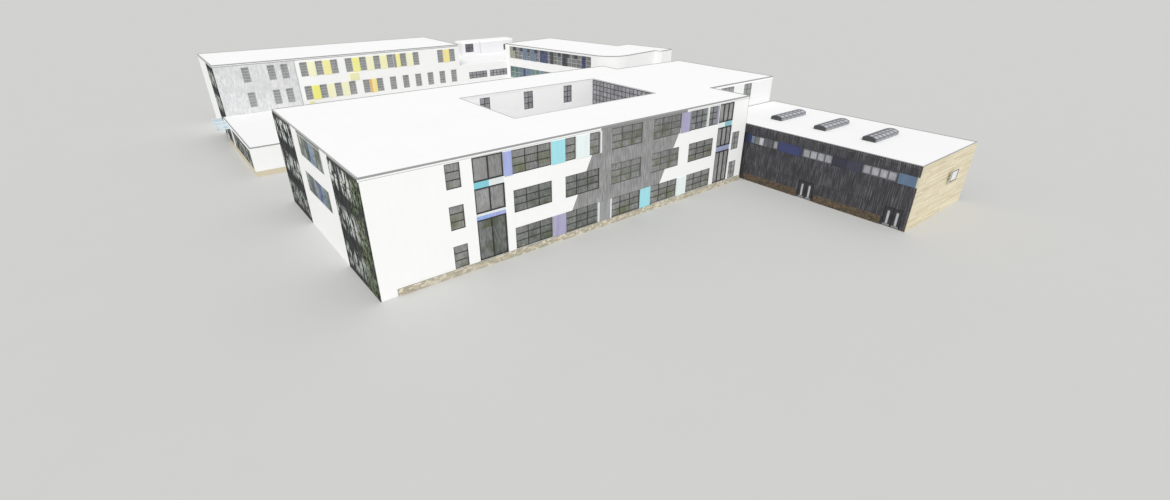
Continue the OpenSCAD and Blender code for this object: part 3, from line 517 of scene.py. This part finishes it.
DULL_GLASS = {
    "end": ((98, 105, 96), (192, 198, 192), (100, 113, 96)),
    "end_blue": ((58, 84, 130), (198, 210, 222), (82, 108, 144)),
    "end_navy": ((62, 70, 102), (182, 186, 200), (84, 92, 118)),
    "end_dark": ((66, 72, 74), (150, 156, 158), (84, 92, 94)),
    "navy_glass": ((58, 62, 100), (116, 120, 146), (76, 82, 118)),
    "dark_glass": ((54, 54, 60), (112, 112, 118), (78, 80, 86)),
}
LOW_REFLECTION_GLASS = {
    "olive": ((78, 79, 78), (160, 161, 159), (98, 104, 70)),
    "shaded": ((56, 60, 56), (144, 146, 144), (74, 84, 60)),
}
for kinds, looks in ((WINDOW_GLASS, {}), (DULL_GLASS, {"specular": 0.0}),
                     (LOW_REFLECTION_GLASS, {"tint": 0.9, "low_tint": True})):
    for key, shades in kinds.items():
        pane_glass(key, *shades, **looks)

toned("cladding", "charcoal_sheet", (50, 49, 54), (68, 67, 72), (58, 56, 60), 0.6, 0.12, 0.08, 40.0, 0.6)
toned("boards", "buff_boards", (218, 207, 178), (236, 229, 206), (206, 192, 160), fine=50.0)
toned("bricks", "brown_bricks", (58, 51, 46), (130, 106, 82), (74, 78, 58))
toned("stones", "split_stones", (178, 168, 148), (228, 220, 200), (168, 168, 146), bump=0.5)
toned("mortar", "mortar", (116, 110, 102), (130, 124, 116), (122, 116, 108))

FINISHES = {
    "roof_membrane": ("main_roof", "hall_roof", "rear_roof", "link_roof", "terrace_roofs", "wing_roof"),
    "slab_concrete": ("ground_floor", "upper_floors", "hall_floor", "rear_floors", "wing_floors"),
    "facade_render": ("front_wall",),
    "rear_render": ("rear_long_walls",),
    "link_render": ("link_walls",),
    "terrace_render": ("terrace_walls",),
    "well_render": ("well_long_walls", "well_short_walls"),
    "hub_render": ("hub_cross_walls", "hub_side_wall"),
    "edge_metal": ("roof_trim",),
    "kerb_metal": ("rooflight_kerbs",),
    "olive": ("facade_windows", "side_windows"),
    "corner": ("curtain_walls",),
    "well": ("well_windows",),
    "rear_glass": ("rear_windows",),
    "teal": ("wing_windows",),
    "milky": ("hall_windows",),
    "roof_glass": ("rooflight_glass",),
    "vision": ("leaf_glass_1", "leaf_glass_2", "leaf_glass_3", "leaf_glass_4"),
    "facade_colours": ("facade_panels",),
    "hall_colours": ("hall_panels",),
    "canopy": ("link_canopy",),
    "door": ("leaf_1", "leaf_2", "leaf_3", "leaf_4", "door_frames"),
    "cladding": ("hall_lower_wall", "hall_upper_wall", "hall_far_wall"),
    "boards": ("hall_end_walls",),
    "mortar": ("brick_base", "plinth"),
    "white_metal": ("ball_board",),
}
chosen_finish = {name: key for key, names in FINISHES.items() for name in names}
for node_name, node in nodes.items():
    node.data.materials.clear()
    node.data.materials.append(MATERIALS[chosen_finish.get(node_name, "white_render")])

# Geometry trees
SIZES = ("width", "height", "lights", "rows", "turn")
ROW_KEYS = 997.0  # more than any row has joints, so that each joint draws its own number
UNIT = {"Size": (1.0, 1.0, 1.0)}


def field_sizes(tree):
    """The sizes that each field's point carries."""
    return {label: outlet(tree, "GeometryNodeInputNamedAttribute", {"Name": label}, data_type="FLOAT")
            for label in SIZES}


def swung(point, angle):
    return outlet(point.tree, "ShaderNodeVectorRotate", {"Vector": point, "Angle": angle}, rotation_type="Z_AXIS")


def chance(low, high, key, seed):
    return outlet(key.tree, "FunctionNodeRandomValue", {2: low, 3: high, "ID": key, "Seed": seed}, 1,
                  data_type="FLOAT")


def copies(points, amount):
    """Copies each point as often as the amount says, and numbers the copies."""
    return outlets(points.tree, "GeometryNodeDuplicateElements", {"Geometry": points, "Amount": amount},
                   domain="POINT")


def shifted(points, offset):
    return outlet(points.tree, "GeometryNodeSetPosition", {"Geometry": points, "Offset": offset})


def placed(points, **inputs):
    """Puts an instance on each point."""
    return outlet(points.tree, "GeometryNodeInstanceOnPoints", {"Points": points, **inputs})


def finish_tree(geometry, material, socket):
    real = outlet(geometry.tree, "GeometryNodeRealizeInstances", {"Geometry": geometry})
    feed(outlet(geometry.tree, "GeometryNodeSetMaterial", {"Geometry": real, "Material": material}), socket)


def make_bars():
    """Uprights and level bars over each window."""
    tree, given, out = new_group("window bars", "GeometryNodeTree", [
        ("Windows", "Geometry", None), ("Bar", "Float", 0.006), ("Depth", "Float", 0.01),
        ("Finish", "Material", None)], [("Bars", "Geometry")])
    size = field_sizes(tree)
    bar, depth = given["Bar"], given["Depth"]
    cube = outlet(tree, "GeometryNodeMeshCube", UNIT)
    aim = outlet(tree, "FunctionNodeEulerToRotation", {0: join(tree, z=size["turn"])})
    joined = put(tree, "GeometryNodeJoinGeometry")

    def row_of_bars(count, span, place, scale):
        more, number = copies(given["Windows"], count + 1.0)
        run = number.calc("MULTIPLY_ADD", (span - bar) / count, bar * 0.5)
        moved = shifted(more, swung(join(tree, **place(run)), size["turn"]))
        feed(placed(moved, Instance=cube, Rotation=aim, Scale=join(tree, *scale)), joined.inputs[0])

    row_of_bars(size["lights"], size["width"], lambda run: {"x": run, "z": size["height"] * 0.5},
                (bar, depth, size["height"]))
    row_of_bars(size["rows"], size["height"], lambda run: {"x": size["width"] * 0.5, "z": run},
                (size["width"], depth * 0.9, bar))
    finish_tree(Value(tree, joined.outputs[0]), given["Finish"], out["Bars"])
    return tree


def make_cells():
    """Panes, boards, bricks or stones in courses over each field, each with its own tone."""
    tree, given, out = new_group("cells", "GeometryNodeTree", [
        ("Fields", "Geometry", None), ("Gap", "Float", 0.002), ("Depth", "Float", 0.004),
        ("Uneven depth", "Float", 0.0), ("Stagger", "Float", 0.0), ("Uneven length", "Float", 0.0),
        ("Tilt", "Float", 0.0), ("Seed", "Int", 1), ("Finish", "Material", None)], [("Cells", "Geometry")])
    size = field_sizes(tree)
    gap, seed = given["Gap"], given["Seed"]
    in_row = size["lights"] + 1.0
    more, index = copies(given["Fields"], in_row * size["rows"])
    column = index % in_row
    row = (index / in_row).calc("FLOOR")
    shift = (row % 2.0) * given["Stagger"]
    step = size["width"] / size["lights"]

    def joint(number):
        """Where the joint of that number lies along its row. Those past the last lie at the row's end."""
        moved = chance(-0.5, 0.5, row.calc("MULTIPLY_ADD", ROW_KEYS, number), seed) * given["Uneven length"]
        raw = (number - shift + moved) * (number > 0.5)
        last = number.equals(size["lights"]) * (shift < 0.01)
        past = number.equals(in_row) + last
        run = past.calc("MULTIPLY_ADD", FAR, raw).calc("MAXIMUM", 0.0)
        return (run * step).calc("MINIMUM", size["width"])

    first, last = joint(column), joint(column + 1.0)
    length = last - first - gap
    course = size["height"] / size["rows"]
    middle = join(tree, (first + last) * 0.5, z=(row + 0.5) * course)
    marked = outlet(tree, "GeometryNodeStoreNamedAttribute", {
        "Geometry": more, "Name": "tone", "Value": chance(0.0, 1.0, index, seed)}, data_type="FLOAT", domain="POINT")
    depth = chance(0.0, 1.0, index, 7).calc("MULTIPLY_ADD", given["Uneven depth"], given["Depth"])
    lean = chance(-1.0, 1.0, index, 11) * given["Tilt"]
    cells = placed(
        shifted(marked, swung(middle, size["turn"])), Selection=length > gap * 0.5,
        Instance=outlet(tree, "GeometryNodeMeshCube", UNIT),
        Rotation=outlet(tree, "FunctionNodeEulerToRotation", {0: join(tree, lean, lean, size["turn"] + lean)}),
        Scale=join(tree, length, depth, course - gap))
    finish_tree(cells, given["Finish"], out["Cells"])
    return tree


def make_arches():
    """Arched ribs across each rooflight and straight bars along it."""
    tree, given, out = new_group("arched ribs", "GeometryNodeTree", [
        ("Rooflights", "Geometry", None), ("Radius", "Float", 1.0), ("Sweep", "Float", 1.0),
        ("Length", "Float", 1.0), ("Ribs", "Int", 7), ("Bars", "Int", 4), ("Bar", "Float", 0.005),
        ("Finish", "Material", None)], [("Ribs", "Geometry")])
    bar, length, sweep = given["Bar"], given["Length"], given["Sweep"]
    quarter = math.pi / 2
    arc = outlet(tree, "GeometryNodeCurveArc", {
        "Resolution": 12, "Radius": given["Radius"], "Start Angle": quarter - sweep * 0.5, "Sweep Angle": sweep})
    upright = outlet(tree, "GeometryNodeTransform", {"Geometry": arc, "Rotation": (quarter, 0.0, quarter)})
    profile = outlet(tree, "GeometryNodeCurvePrimitiveQuadrilateral", {"Width": bar, "Height": bar})
    rib = outlet(tree, "GeometryNodeCurveToMesh", {
        "Curve": upright, "Profile Curve": profile, "Fill Caps": True})
    across, number = copies(given["Rooflights"], given["Ribs"])
    stations = shifted(across, join(tree, number * (length / (given["Ribs"] - 1.0))))
    spots = outlet(tree, "GeometryNodeResampleCurve", {"Curve": upright, "Count": given["Bars"]})
    block = outlet(tree, "GeometryNodeMeshCube", {"Size": join(tree, length, bar, bar)})
    centred = outlet(tree, "GeometryNodeTransform", {"Geometry": block, "Translation": join(tree, length * 0.5)})
    joined = put(tree, "GeometryNodeJoinGeometry")
    feed(placed(stations, Instance=rib), joined.inputs[0])
    feed(placed(given["Rooflights"], Instance=placed(spots, Instance=centred)), joined.inputs[0])
    finish_tree(Value(tree, joined.outputs[0]), given["Finish"], out["Ribs"])
    return tree


BARS = make_bars()
CELLS = make_cells()
ARCHES = make_arches()

# An upright rectangle on a wall: where it starts, its size, how it is turned and how it is divided
Field = namedtuple("Field", "start width height turn lights rows", defaults=(0.0, 1, 1))


def facing_front(x, z, y, lights=1, rows=1):
    """A field that runs from left to right, in real metres."""
    return Field(at(x[0], y, z[0]), (x[1] - x[0]) * REAL, (z[1] - z[0]) * REAL, 0.0, lights, rows)


def facing_side(y, z, x, lights=1, rows=1):
    """A field that runs from front to back, in real metres."""
    return Field(at(x, y[0], z[0]), (y[1] - y[0]) * REAL, (z[1] - z[0]) * REAL, math.pi / 2, lights, rows)


def facing_yard(along, z, inset, lights=1, rows=1):
    """A field on the turned wall of the right wing, from its rear corner, in real metres."""
    way = Vector((math.sin(WING_TURN), -math.cos(WING_TURN), 0.0))
    inward = Vector((math.cos(WING_TURN), math.sin(WING_TURN), 0.0))
    start = wing_pivot + (way * along[0] + inward * inset + Vector((0.0, 0.0, z[0]))) * REAL
    return Field(start, (along[1] - along[0]) * REAL, (z[1] - z[0]) * REAL, WING_TURN - math.pi / 2, lights, rows)


def keep(name, mesh, body):
    """Stores a piece on its body."""
    made = bpy.data.objects.new(name, mesh)
    scene.collection.objects.link(made)
    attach(made, body)


def grow(name, tree, fields, slot, finish, **sizes):
    """Runs a geometry tree over fields and keeps the result as a plain mesh."""
    sizes["finish"] = MATERIALS[finish]
    mesh = bpy.data.meshes.new(name)
    mesh.from_pydata([field.start for field in fields], [], [])
    for label in SIZES:
        values = [float(getattr(field, label)) for field in fields]
        mesh.attributes.new(label, "FLOAT", "POINT").data.foreach_set("value", values)
    seed_piece = bpy.data.objects.new(name + "_fields", mesh)
    scene.collection.objects.link(seed_piece)
    modifier = seed_piece.modifiers.new("grow", "NODES")
    modifier.node_group = tree
    for item in tree.interface.items_tree:
        label = item.name.replace(" ", "_").lower()
        if item.in_out == "INPUT" and label in sizes:
            modifier[item.identifier] = sizes[label]
    depsgraph = bpy.context.evaluated_depsgraph_get()
    grown = bpy.data.meshes.new_from_object(
        seed_piece.evaluated_get(depsgraph), preserve_all_data_layers=True, depsgraph=depsgraph)
    bpy.data.objects.remove(seed_piece)
    keep(name, grown, "building")


def blocks(name, boxes, finish, body="building"):
    """Plain bars and plates: each is a box from x, y, z ranges in real metres."""
    corners, faces = [], []
    for x, y, z in boxes:
        first = len(corners)
        corners += [at(a, b, c) for a in x for b in y for c in z]
        faces += [[first + i for i in face] for face in (
            (0, 1, 3, 2), (4, 6, 7, 5), (0, 4, 5, 1), (2, 3, 7, 6), (0, 2, 6, 4), (1, 5, 7, 3))]
    mesh = bpy.data.meshes.new(name)
    mesh.from_pydata(corners, [], faces)
    mesh.materials.append(MATERIALS[finish])
    keep(name, mesh, body)


def sheets(name, turn=0.0):
    """The glass sheets of a node, each as its lowest and highest corner, with the node turned straight first."""
    mesh = nodes[name].data
    points = np.empty(len(mesh.vertices) * 3)
    mesh.vertices.foreach_get("co", points)
    pivot = np.array(wing_pivot)
    straight = np.array(Matrix.Rotation(turn, 3, "Z"))
    points = (points.reshape(-1, 3) - pivot) @ straight + pivot
    places = {}
    parent = [places.setdefault(tuple(p), i) for i, p in enumerate(np.round(points, 5))]

    def top(i):
        while parent[i] != i:
            i = parent[i]
        return i

    for polygon in mesh.polygons:
        roots = [top(i) for i in polygon.vertices]
        for root in roots[1:]:
            if top(root) != top(roots[0]):
                parent[top(root)] = top(roots[0])
    found = {}
    for i in range(len(points)):
        found.setdefault(top(i), []).append(i)
    return [(points[group].min(0), points[group].max(0)) for group in found.values()]


def glazing(name, light, chosen, turn=0.0):
    """A field for each chosen sheet of a node, divided into lights near a width and a height in real metres."""
    fields = []
    for low, high in sheets(name, turn):
        size = high - low
        middle = (low + high) / 2
        if not chosen((middle[0] - corner.x) / REAL, (middle[1] - corner.y) / REAL, middle[2] / REAL):
            continue
        along_x = size[0] > size[1]
        width = size[0] if along_x else size[1]
        start = Vector((low[0], middle[1], low[2])) if along_x else Vector((middle[0], low[1], low[2]))
        start = Matrix.Rotation(turn, 3, "Z") @ (start - wing_pivot) + wing_pivot
        fields.append(Field(start, width, size[2], turn + (0 if along_x else math.pi / 2),
                            max(1, round(width / REAL / light[0])), max(1, round(size[2] / REAL / light[1]))))
    return fields


def windows(name, fields, pane, seed, bar=0.07, depth=0.14, bars="bars", slot="window_glass"):
    """Bars over the fields, and a pane in each opening between them."""
    grow(name + "_bars", BARS, fields, "trim", bars, bar=bar * REAL, depth=depth * REAL)
    grow(name + "_panes", CELLS, fields, slot, pane, gap=bar * REAL / 2, depth=0.07 * REAL, seed=seed)


# Windows of the front block. Each light is about so wide and high
WIDE_LIGHT = (1.4, 0.74)
MID_LIGHT = (1.05, 0.74)
NARROW_LIGHT = (0.7, 0.74)
SQUARE_LIGHT = (1.1, 1.1)
SLIM_LIGHT = (0.86, 0.74)
LINK_WALL, REAR_WALL, END_WALL = -1.4, -1.0, -0.1


def in_shadow_band(x, z):
    """Whether a window stands in the painted shadow band across the front wall, where its bars are paler."""
    return 22.5 < x < 36 and z > 4 and (z > 7 or x < 34)


def in_shade(x, z):
    """Whether a window stands low in the left bays, where the glass mirrors darker things."""
    return 13 < x < 23 and z < 7


def plain_front(x, z):
    return (x < 33 or z < 7) and x < 44 and not in_shadow_band(x, z) and not in_shade(x, z)


windows("front_window", glazing("facade_windows", WIDE_LIGHT, lambda x, y, z: plain_front(x, z)), "olive", 3)
windows("shaded_window", glazing("facade_windows", WIDE_LIGHT, lambda x, y, z: in_shade(x, z) and not in_shadow_band(x, z)),
        "shaded", 3)
windows("field_window", glazing("facade_windows", WIDE_LIGHT, lambda x, y, z: x < 33 and in_shadow_band(x, z)), "olive", 3,
        bars="field_bars")
windows("pier_window", glazing("facade_windows", NARROW_LIGHT, lambda x, y, z: 44 < x < 46), "rear_glass", 3,
        bars="mid_bars")
windows("front_right_window", glazing("facade_windows", MID_LIGHT, lambda x, y, z: 33 < x < 47 and z > 7), "grey", 4)
windows("hub_window", glazing("side_windows", MID_LIGHT, lambda x, y, z: x > 47 and y < 8), "rear_glass", 4,
        bars="mid_bars")
windows("yard_window", glazing("side_windows", WIDE_LIGHT, lambda x, y, z: x > 1 and (x < 47 or y > 8)), "grey", 5)
windows("end_window", glazing("side_windows", SQUARE_LIGHT, lambda x, y, z: x < 1), "end", 6, 0.05, bars="mid_bars")
well_end = facing_side((8.03, 19.97), (0.3, 10.62), 38.77, lights=16, rows=16)
windows("well_wall", [well_end], "well", 7, 0.08, bars="field_bars")
windows("well_window", glazing("well_windows", NARROW_LIGHT, lambda x, y, z: x < 38), "well", 8)

# Curtain walls: two in the facade with bands between their storeys, two at the end wall's corners
CURTAIN_BEHIND = 0.15
CURTAIN_ZONES = ((0.65, 4.62), (5.22, 7.56), (8.16, 10.37))
left_curtain = [facing_front((9.3, 12.3), z, CURTAIN_BEHIND, 2) for z in CURTAIN_ZONES]
right_curtain = [facing_front((41.45, 44.05), z, CURTAIN_BEHIND, 3) for z in CURTAIN_ZONES]
windows("left_curtain", left_curtain[1:], "curtain", 9, 0.12, 0.2, slot="curtain_glass")
windows("left_low_curtain", left_curtain[:1], "shaded", 9, 0.12, 0.2, slot="curtain_glass")
windows("right_curtain", right_curtain, "curtain", 10, 0.14, 0.2, slot="curtain_glass")
windows("corner_curtain", glazing("curtain_walls", (1.1, 1.24), lambda x, y, z: END_WALL < x < 0.1), "corner",
        11, 0.05, 0.1, "dull_bars", "curtain_glass")
windows("link_curtain", glazing("curtain_walls", (1.3, 1.4), lambda x, y, z: x < LINK_WALL), "corner",
        12, 0.07, 0.1, slot="curtain_glass")
windows("rear_curtain", glazing("curtain_walls", (1.2, 1.2), lambda x, y, z: LINK_WALL < x < REAR_WALL), "corner",
        13, 0.05, 0.1, slot="curtain_glass")

# Windows of the rear wing, the block between the wings and the right wing
TERRACE = 38.5
windows("rear_window", glazing("rear_windows", (1.15, 0.45), lambda x, y, z: x < TERRACE), "rear_glass", 14,
        bars="pale_bars")
windows("terrace_window", glazing("rear_windows", (0.86, 0.56), lambda x, y, z: x > TERRACE and z < 7), "well", 15,
        bars="ribs")
windows("terrace_top_window", glazing("rear_windows", SLIM_LIGHT, lambda x, y, z: x > TERRACE and z > 7), "smoked", 15)
windows("wing_top_window", glazing("wing_windows", (1.2, 0.74), lambda x, y, z: z > 7, WING_TURN), "wing_glass",
        16, 0.08, bars="pale_bars", slot="teal_glass")
windows("wing_low_window", glazing("wing_windows", (1.2, 1.1), lambda x, y, z: z < 7, WING_TURN), "teal",
        17, 0.08, bars="pale_bars", slot="teal_glass")

# Tinted panes in the ribbons of the right wing and the end wall: where each starts and ends, and its storey
WING_PANES = {
    "olive_light": (((0.7, 2.2), 2),),
    "steel_glass": (((4.4, 5.9), 2), ((6.4, 8.2), 2), ((3.5, 4.1), 1), ((5.0, 6.6), 1)),
    "navy_glass": (((9.2, 11.3), 2), ((19.8, 20.8), 2), ((4.3, 4.9), 1)),
    "dark_glass": (((11.9, 12.7), 2), ((15.0, 16.3), 2)),
    "teal": (((0.05, 0.72), 1),),
}
END_PANES = {
    "blue": (((12.85, 14.05), 2), ((11.9, 12.7), 1)),
    "navy": (((12.9, 14.4), 1),),
    "dark": (((14.05, 15.0), 2), ((10.35, 11.0), 1), ((15.2, 16.8), 1)),
}


PANE_W = 0.6
# Painted shadows at the head of the right wing's upper windows: where the first starts, their pitch and their size.
SHADOW_START, SHADOW_PITCH, SHADOW_SIZE = 1.6, 2.05, 0.7


def panes_between(facing, panes, rows, inset, edge=0.0):
    """Fields for tinted panes, between the sill and the head of their storey's windows."""
    return [facing(along, (WINDOW_LOW + level * STOREY + edge, WINDOW_HIGH + level * STOREY - edge), inset,
                   max(1, round((along[1] - along[0]) / PANE_W)), rows) for along, level in panes]


for key, panes in WING_PANES.items():
    grow("wing_" + key, CELLS, panes_between(facing_yard, panes, 3, 0.06), "teal_glass", key,
         gap=0.004, depth=0.004, seed=2)
# Small dark lights along the head of the right wing's upper windows are painted shadows.
shadow_lights = [facing_yard((start, start + SHADOW_SIZE), (TOP_HIGH - SHADOW_SIZE, TOP_HIGH - 0.05), 0.05)
               for start in (SHADOW_START + SHADOW_PITCH * i for i in range(10))]
grow("wing_dark_lights", CELLS, shadow_lights, "teal_glass", "dark_glass", gap=0.002, depth=0.004, seed=2)
for key, panes in END_PANES.items():
    grow("end_" + key, CELLS, panes_between(facing_side, panes, 2, 0.1, 0.05), "window_glass", "end_" + key,
         gap=0.004, depth=0.008, seed=2)

# Bands, posts and strips on the walls
blocks("white_strips", [
    ((23.3, 23.48), (-0.06, 0.12), (8.09, 10.31)), ((39.32, 39.56), (-0.05, 0.12), (8.09, 10.31)),
    ((23.12, 23.3), (-0.06, 0.12), (0.65, 2.87)), ((24.78, 24.96), (-0.06, 0.12), (0.65, 2.87))],
    "white_metal")
blocks("lilac_strip", [((41.04, 41.33), (-0.02, 0.12), (8.09, 10.31))], "lilac")
blocks("terrace_joint", [((49.55, 49.63), (71.44, 71.5), (7.6, 10.0))], "pale_bars")
blocks("rear_joint", [((9.86, 9.94), (59.44, 59.5), (0.3, 11.1))], "pale_bars")
blocks("yellow_spandrels", [((18.0, 19.6), (59.44, 59.5), (7.06, 8.24)),
                            ((10.9, 11.75), (59.44, 59.5), (4.1, 4.62))], "spandrel")
blocks("corner_joint", [((46.75, 46.8), (-0.02, 0.05), (6.6, 10.4))], "pale_bars")

# Sports hall: upright sheets on the long walls, boards on the end wall, bricks at the foot
HALL = (47.5, 61.3)
HALL_FRONT = -20.6
HALL_REAR = 6.0
STRIP = (4.85, 5.95)
DOORWAYS = ((-20.0, -18.09), (-9.9, -7.99))
DOORWAY_TOP = 2.15
BRICK_TOP = 0.9
LAST_WINDOW = -2.6
SHEET_W = 0.2
hall_length = (HALL_FRONT, HALL_REAR)


def sheeting(y, z, x):
    return facing_side(y, z, x, max(1, round((y[1] - y[0]) / SHEET_W)), 1)


cladding = [sheeting(y, z, HALL[0]) for y, z in (
    (hall_length, (STRIP[1], HALL_EAVES)), ((HALL_FRONT, 0.0), (DOORWAY_TOP, STRIP[0])),
    ((0.0, HALL_REAR), (0.0, STRIP[0])), ((HALL_FRONT, DOORWAYS[0][0]), (0.0, DOORWAY_TOP)),
    ((DOORWAYS[0][1], DOORWAYS[1][0]), (BRICK_TOP, DOORWAY_TOP)), ((DOORWAYS[1][1], 0.0), (BRICK_TOP, DOORWAY_TOP)))]
cladding += [sheeting(hall_length, (0.0, STRIP[0]), HALL[1]), sheeting(hall_length, (STRIP[1], HALL_EAVES), HALL[1])]
cladding += [sheeting(y, STRIP, HALL[1]) for y in (
    (HALL_FRONT, -18.5), (-14.8, -11.4), (-7.7, -4.45), (-3.7, -2.45), (-0.65, HALL_REAR))]
grow("hall_cladding", CELLS, cladding, "cladding", "cladding", gap=0.0025, depth=0.005, uneven_depth=0.001, seed=21)
grow("hall_boards", CELLS, [facing_front(HALL, (0.0, HALL_EAVES), HALL_FRONT, 4, 47)], "end_boards", "boards",
     gap=0.0012, depth=0.005, stagger=0.5, uneven_length=0.5, seed=22)
grow("hall_bricks", CELLS, [
    facing_side((-17.89, -10.1), (0.0, BRICK_TOP), HALL[0] - 0.06, 35, 12),
    facing_side((-7.79, -0.2), (0.0, BRICK_TOP), HALL[0] - 0.06, 34, 12)], "brick", "bricks",
    gap=0.001, depth=0.002, uneven_depth=0.001, stagger=0.5, seed=23)
windows("hall_window", glazing("hall_windows", (0.92, 1.1), lambda x, y, z: y < LAST_WINDOW), "milky", 24, 0.12, 0.2,
        "mid_bars", "hall_glass")
windows("hall_last_window", glazing("hall_windows", (0.6, 1.1), lambda x, y, z: y > LAST_WINDOW), "milky", 27, 0.1, 0.2,
        "mid_bars", "hall_glass")
for key, y in (("vision", (-2.42, -1.88)), ("grey", (-1.83, -1.27)), ("steel_glass", (-1.22, -0.72))):
    grow("hall_last_" + key, CELLS, [facing_side(y, (4.95, 5.85), HALL[0])], "hall_glass", key,
         gap=0.003, depth=0.02, seed=2)
grow("hall_smoked_panels", CELLS, [facing_side((-3.7, -2.45), STRIP, HALL[0], 2)], "cladding", "smoked",
     gap=0.006, depth=0.006, seed=2)

# Edge of the board for ball games
BOARD = ((54.9, 56.6), (-21.03, -21.0), (3.9, 5.1))
BOARD_EDGE = 0.07
(left, right), board_y, (low, high) = BOARD
blocks("ball_board_edge", [
    ((left, left + BOARD_EDGE), board_y, (low, high)), ((right - BOARD_EDGE, right), board_y, (low, high)),
    ((left, right), board_y, (low, low + BOARD_EDGE)), ((left, right), board_y, (high - BOARD_EDGE, high))],
    "door")

# Rooflights: ribs over the vaulted glass
VAULT_RISE = 0.022
vaults = sheets("rooflight_glass")
vault_length, vault_width, _ = vaults[0][1] - vaults[0][0]
vault_radius = (vault_width ** 2 / 4 + VAULT_RISE ** 2) / (2 * VAULT_RISE)
vault_sweep = 2 * math.asin(vault_width / 2 / vault_radius) * 0.97
vault_eyes = [Field(Vector((low[0], (low[1] + high[1]) / 2, high[2] - vault_radius)), 1, 1) for low, high in vaults]
grow("rooflight_ribs", ARCHES, vault_eyes, "trim", "vault", radius=vault_radius, sweep=vault_sweep,
     length=vault_length, bar=0.09 * REAL)

# Plinth stones along the facade
grow("plinth_stones", CELLS, [facing_front((1.52, 46.78), (0.0, 0.65), -0.07, 146, 4)], "stone", "stones",
     gap=0.0015, depth=0.004, uneven_depth=0.004, stagger=0.5, uneven_length=0.7, tilt=0.05, seed=31)

# Canopy bars
CANOPY = ((-3.3, -1.7), (54.0, 61.5))
blocks("canopy_bars", [(CANOPY[0], (y, y + 0.08), (3.28, 3.36)) for y in (54.0, 56.45, 58.95, 61.42)]
       + [((CANOPY[0][0], CANOPY[0][0] + 0.08), CANOPY[1], (3.26, 3.38))], "white_metal")

# Door leaves: kick plates, and frames round the glass strips
LEAF_FACE = 47.52
LEAF_T = 0.06
PLATE_T = 0.006
HINGE_IN = 0.05


def leaf_fittings(number, hinge_y, side):
    """Thin plates on both faces of a leaf, measured from its hinge."""
    parts = []
    for x in ((LEAF_FACE - PLATE_T, LEAF_FACE), (LEAF_FACE + LEAF_T, LEAF_FACE + LEAF_T + PLATE_T)):
        for near, far, low, high in ((0.08, 0.8, 0.09, 0.26), (0.31, 0.33, 0.28, 1.77), (0.55, 0.57, 0.28, 1.77),
                                     (0.31, 0.57, 0.28, 0.3), (0.31, 0.57, 1.75, 1.77)):
            parts.append((x, sorted((hinge_y + side * near, hinge_y + side * far)), (low, high)))
    blocks(f"leaf_{number}_plates", parts, "steel", f"door_leaf_{number}")


for number, doorway in ((3, DOORWAYS[0]), (1, DOORWAYS[1])):
    leaf_fittings(number, doorway[0] + HINGE_IN, 1)
    leaf_fittings(number + 1, doorway[1] - HINGE_IN, -1)

# Floor, light and camera
FLOOR_SIZE = 150.0
floor_mesh = bpy.data.meshes.new("floor")
floor_mesh.from_pydata([(-FLOOR_SIZE, -FLOOR_SIZE, 0), (FLOOR_SIZE, -FLOOR_SIZE, 0),
                        (FLOOR_SIZE, FLOOR_SIZE, 0), (-FLOOR_SIZE, FLOOR_SIZE, 0)], [], [(0, 1, 2, 3)])
floor_mesh.materials.append(MATERIALS["pale_floor"])
floor = bpy.data.objects.new("floor", floor_mesh)
scene.collection.objects.link(floor)

world = bpy.data.worlds.new("soft_sky")
scene.world = world
world.use_nodes = True
sky = world.node_tree.nodes["Background"]
sky.inputs["Color"].default_value = (1.0, 1.0, 1.0, 1.0)
sky.inputs["Strength"].default_value = 0.62

SUN_HEIGHT = math.radians(42)
SUN_AZIMUTH = math.radians(38)
sun_data = bpy.data.lights.new("soft_sun", "SUN")
sun_data.energy = 2.06
sun_data.angle = math.radians(25)
sun = bpy.data.objects.new("soft_sun", sun_data)
scene.collection.objects.link(sun)
to_sun = Vector((-math.sin(SUN_AZIMUTH) * math.cos(SUN_HEIGHT),
                 -math.cos(SUN_AZIMUTH) * math.cos(SUN_HEIGHT), math.sin(SUN_HEIGHT)))
sun.rotation_euler = to_sun.to_track_quat("Z", "Y").to_euler()

CAMERA_PLACE = (-10.67, -40.01, 24.64)
CAMERA_YAW = math.radians(38.73)
CAMERA_PITCH = math.radians(27.18)
CAMERA_ROLL = math.radians(0.21)
camera_data = bpy.data.cameras.new("photo_view")
camera_data.sensor_width = 36.0
camera_data.lens = 16.878
camera_data.shift_y = -0.0029
camera_data.clip_start = 0.05
camera_data.clip_end = 500.0
camera = bpy.data.objects.new("photo_view", camera_data)
scene.collection.objects.link(camera)
forward = Vector((math.sin(CAMERA_YAW) * math.cos(CAMERA_PITCH),
                  math.cos(CAMERA_YAW) * math.cos(CAMERA_PITCH), -math.sin(CAMERA_PITCH)))
level = Vector((math.cos(CAMERA_YAW), -math.sin(CAMERA_YAW), 0.0))
upward = level.cross(forward)
right = math.cos(CAMERA_ROLL) * level + math.sin(CAMERA_ROLL) * upward
upright = -math.sin(CAMERA_ROLL) * level + math.cos(CAMERA_ROLL) * upward
pose = Matrix((right, upright, -forward)).transposed().to_4x4()
pose.translation = at(*CAMERA_PLACE)
camera.matrix_world = pose
scene.camera = camera
scene.view_settings.view_transform = "Standard"
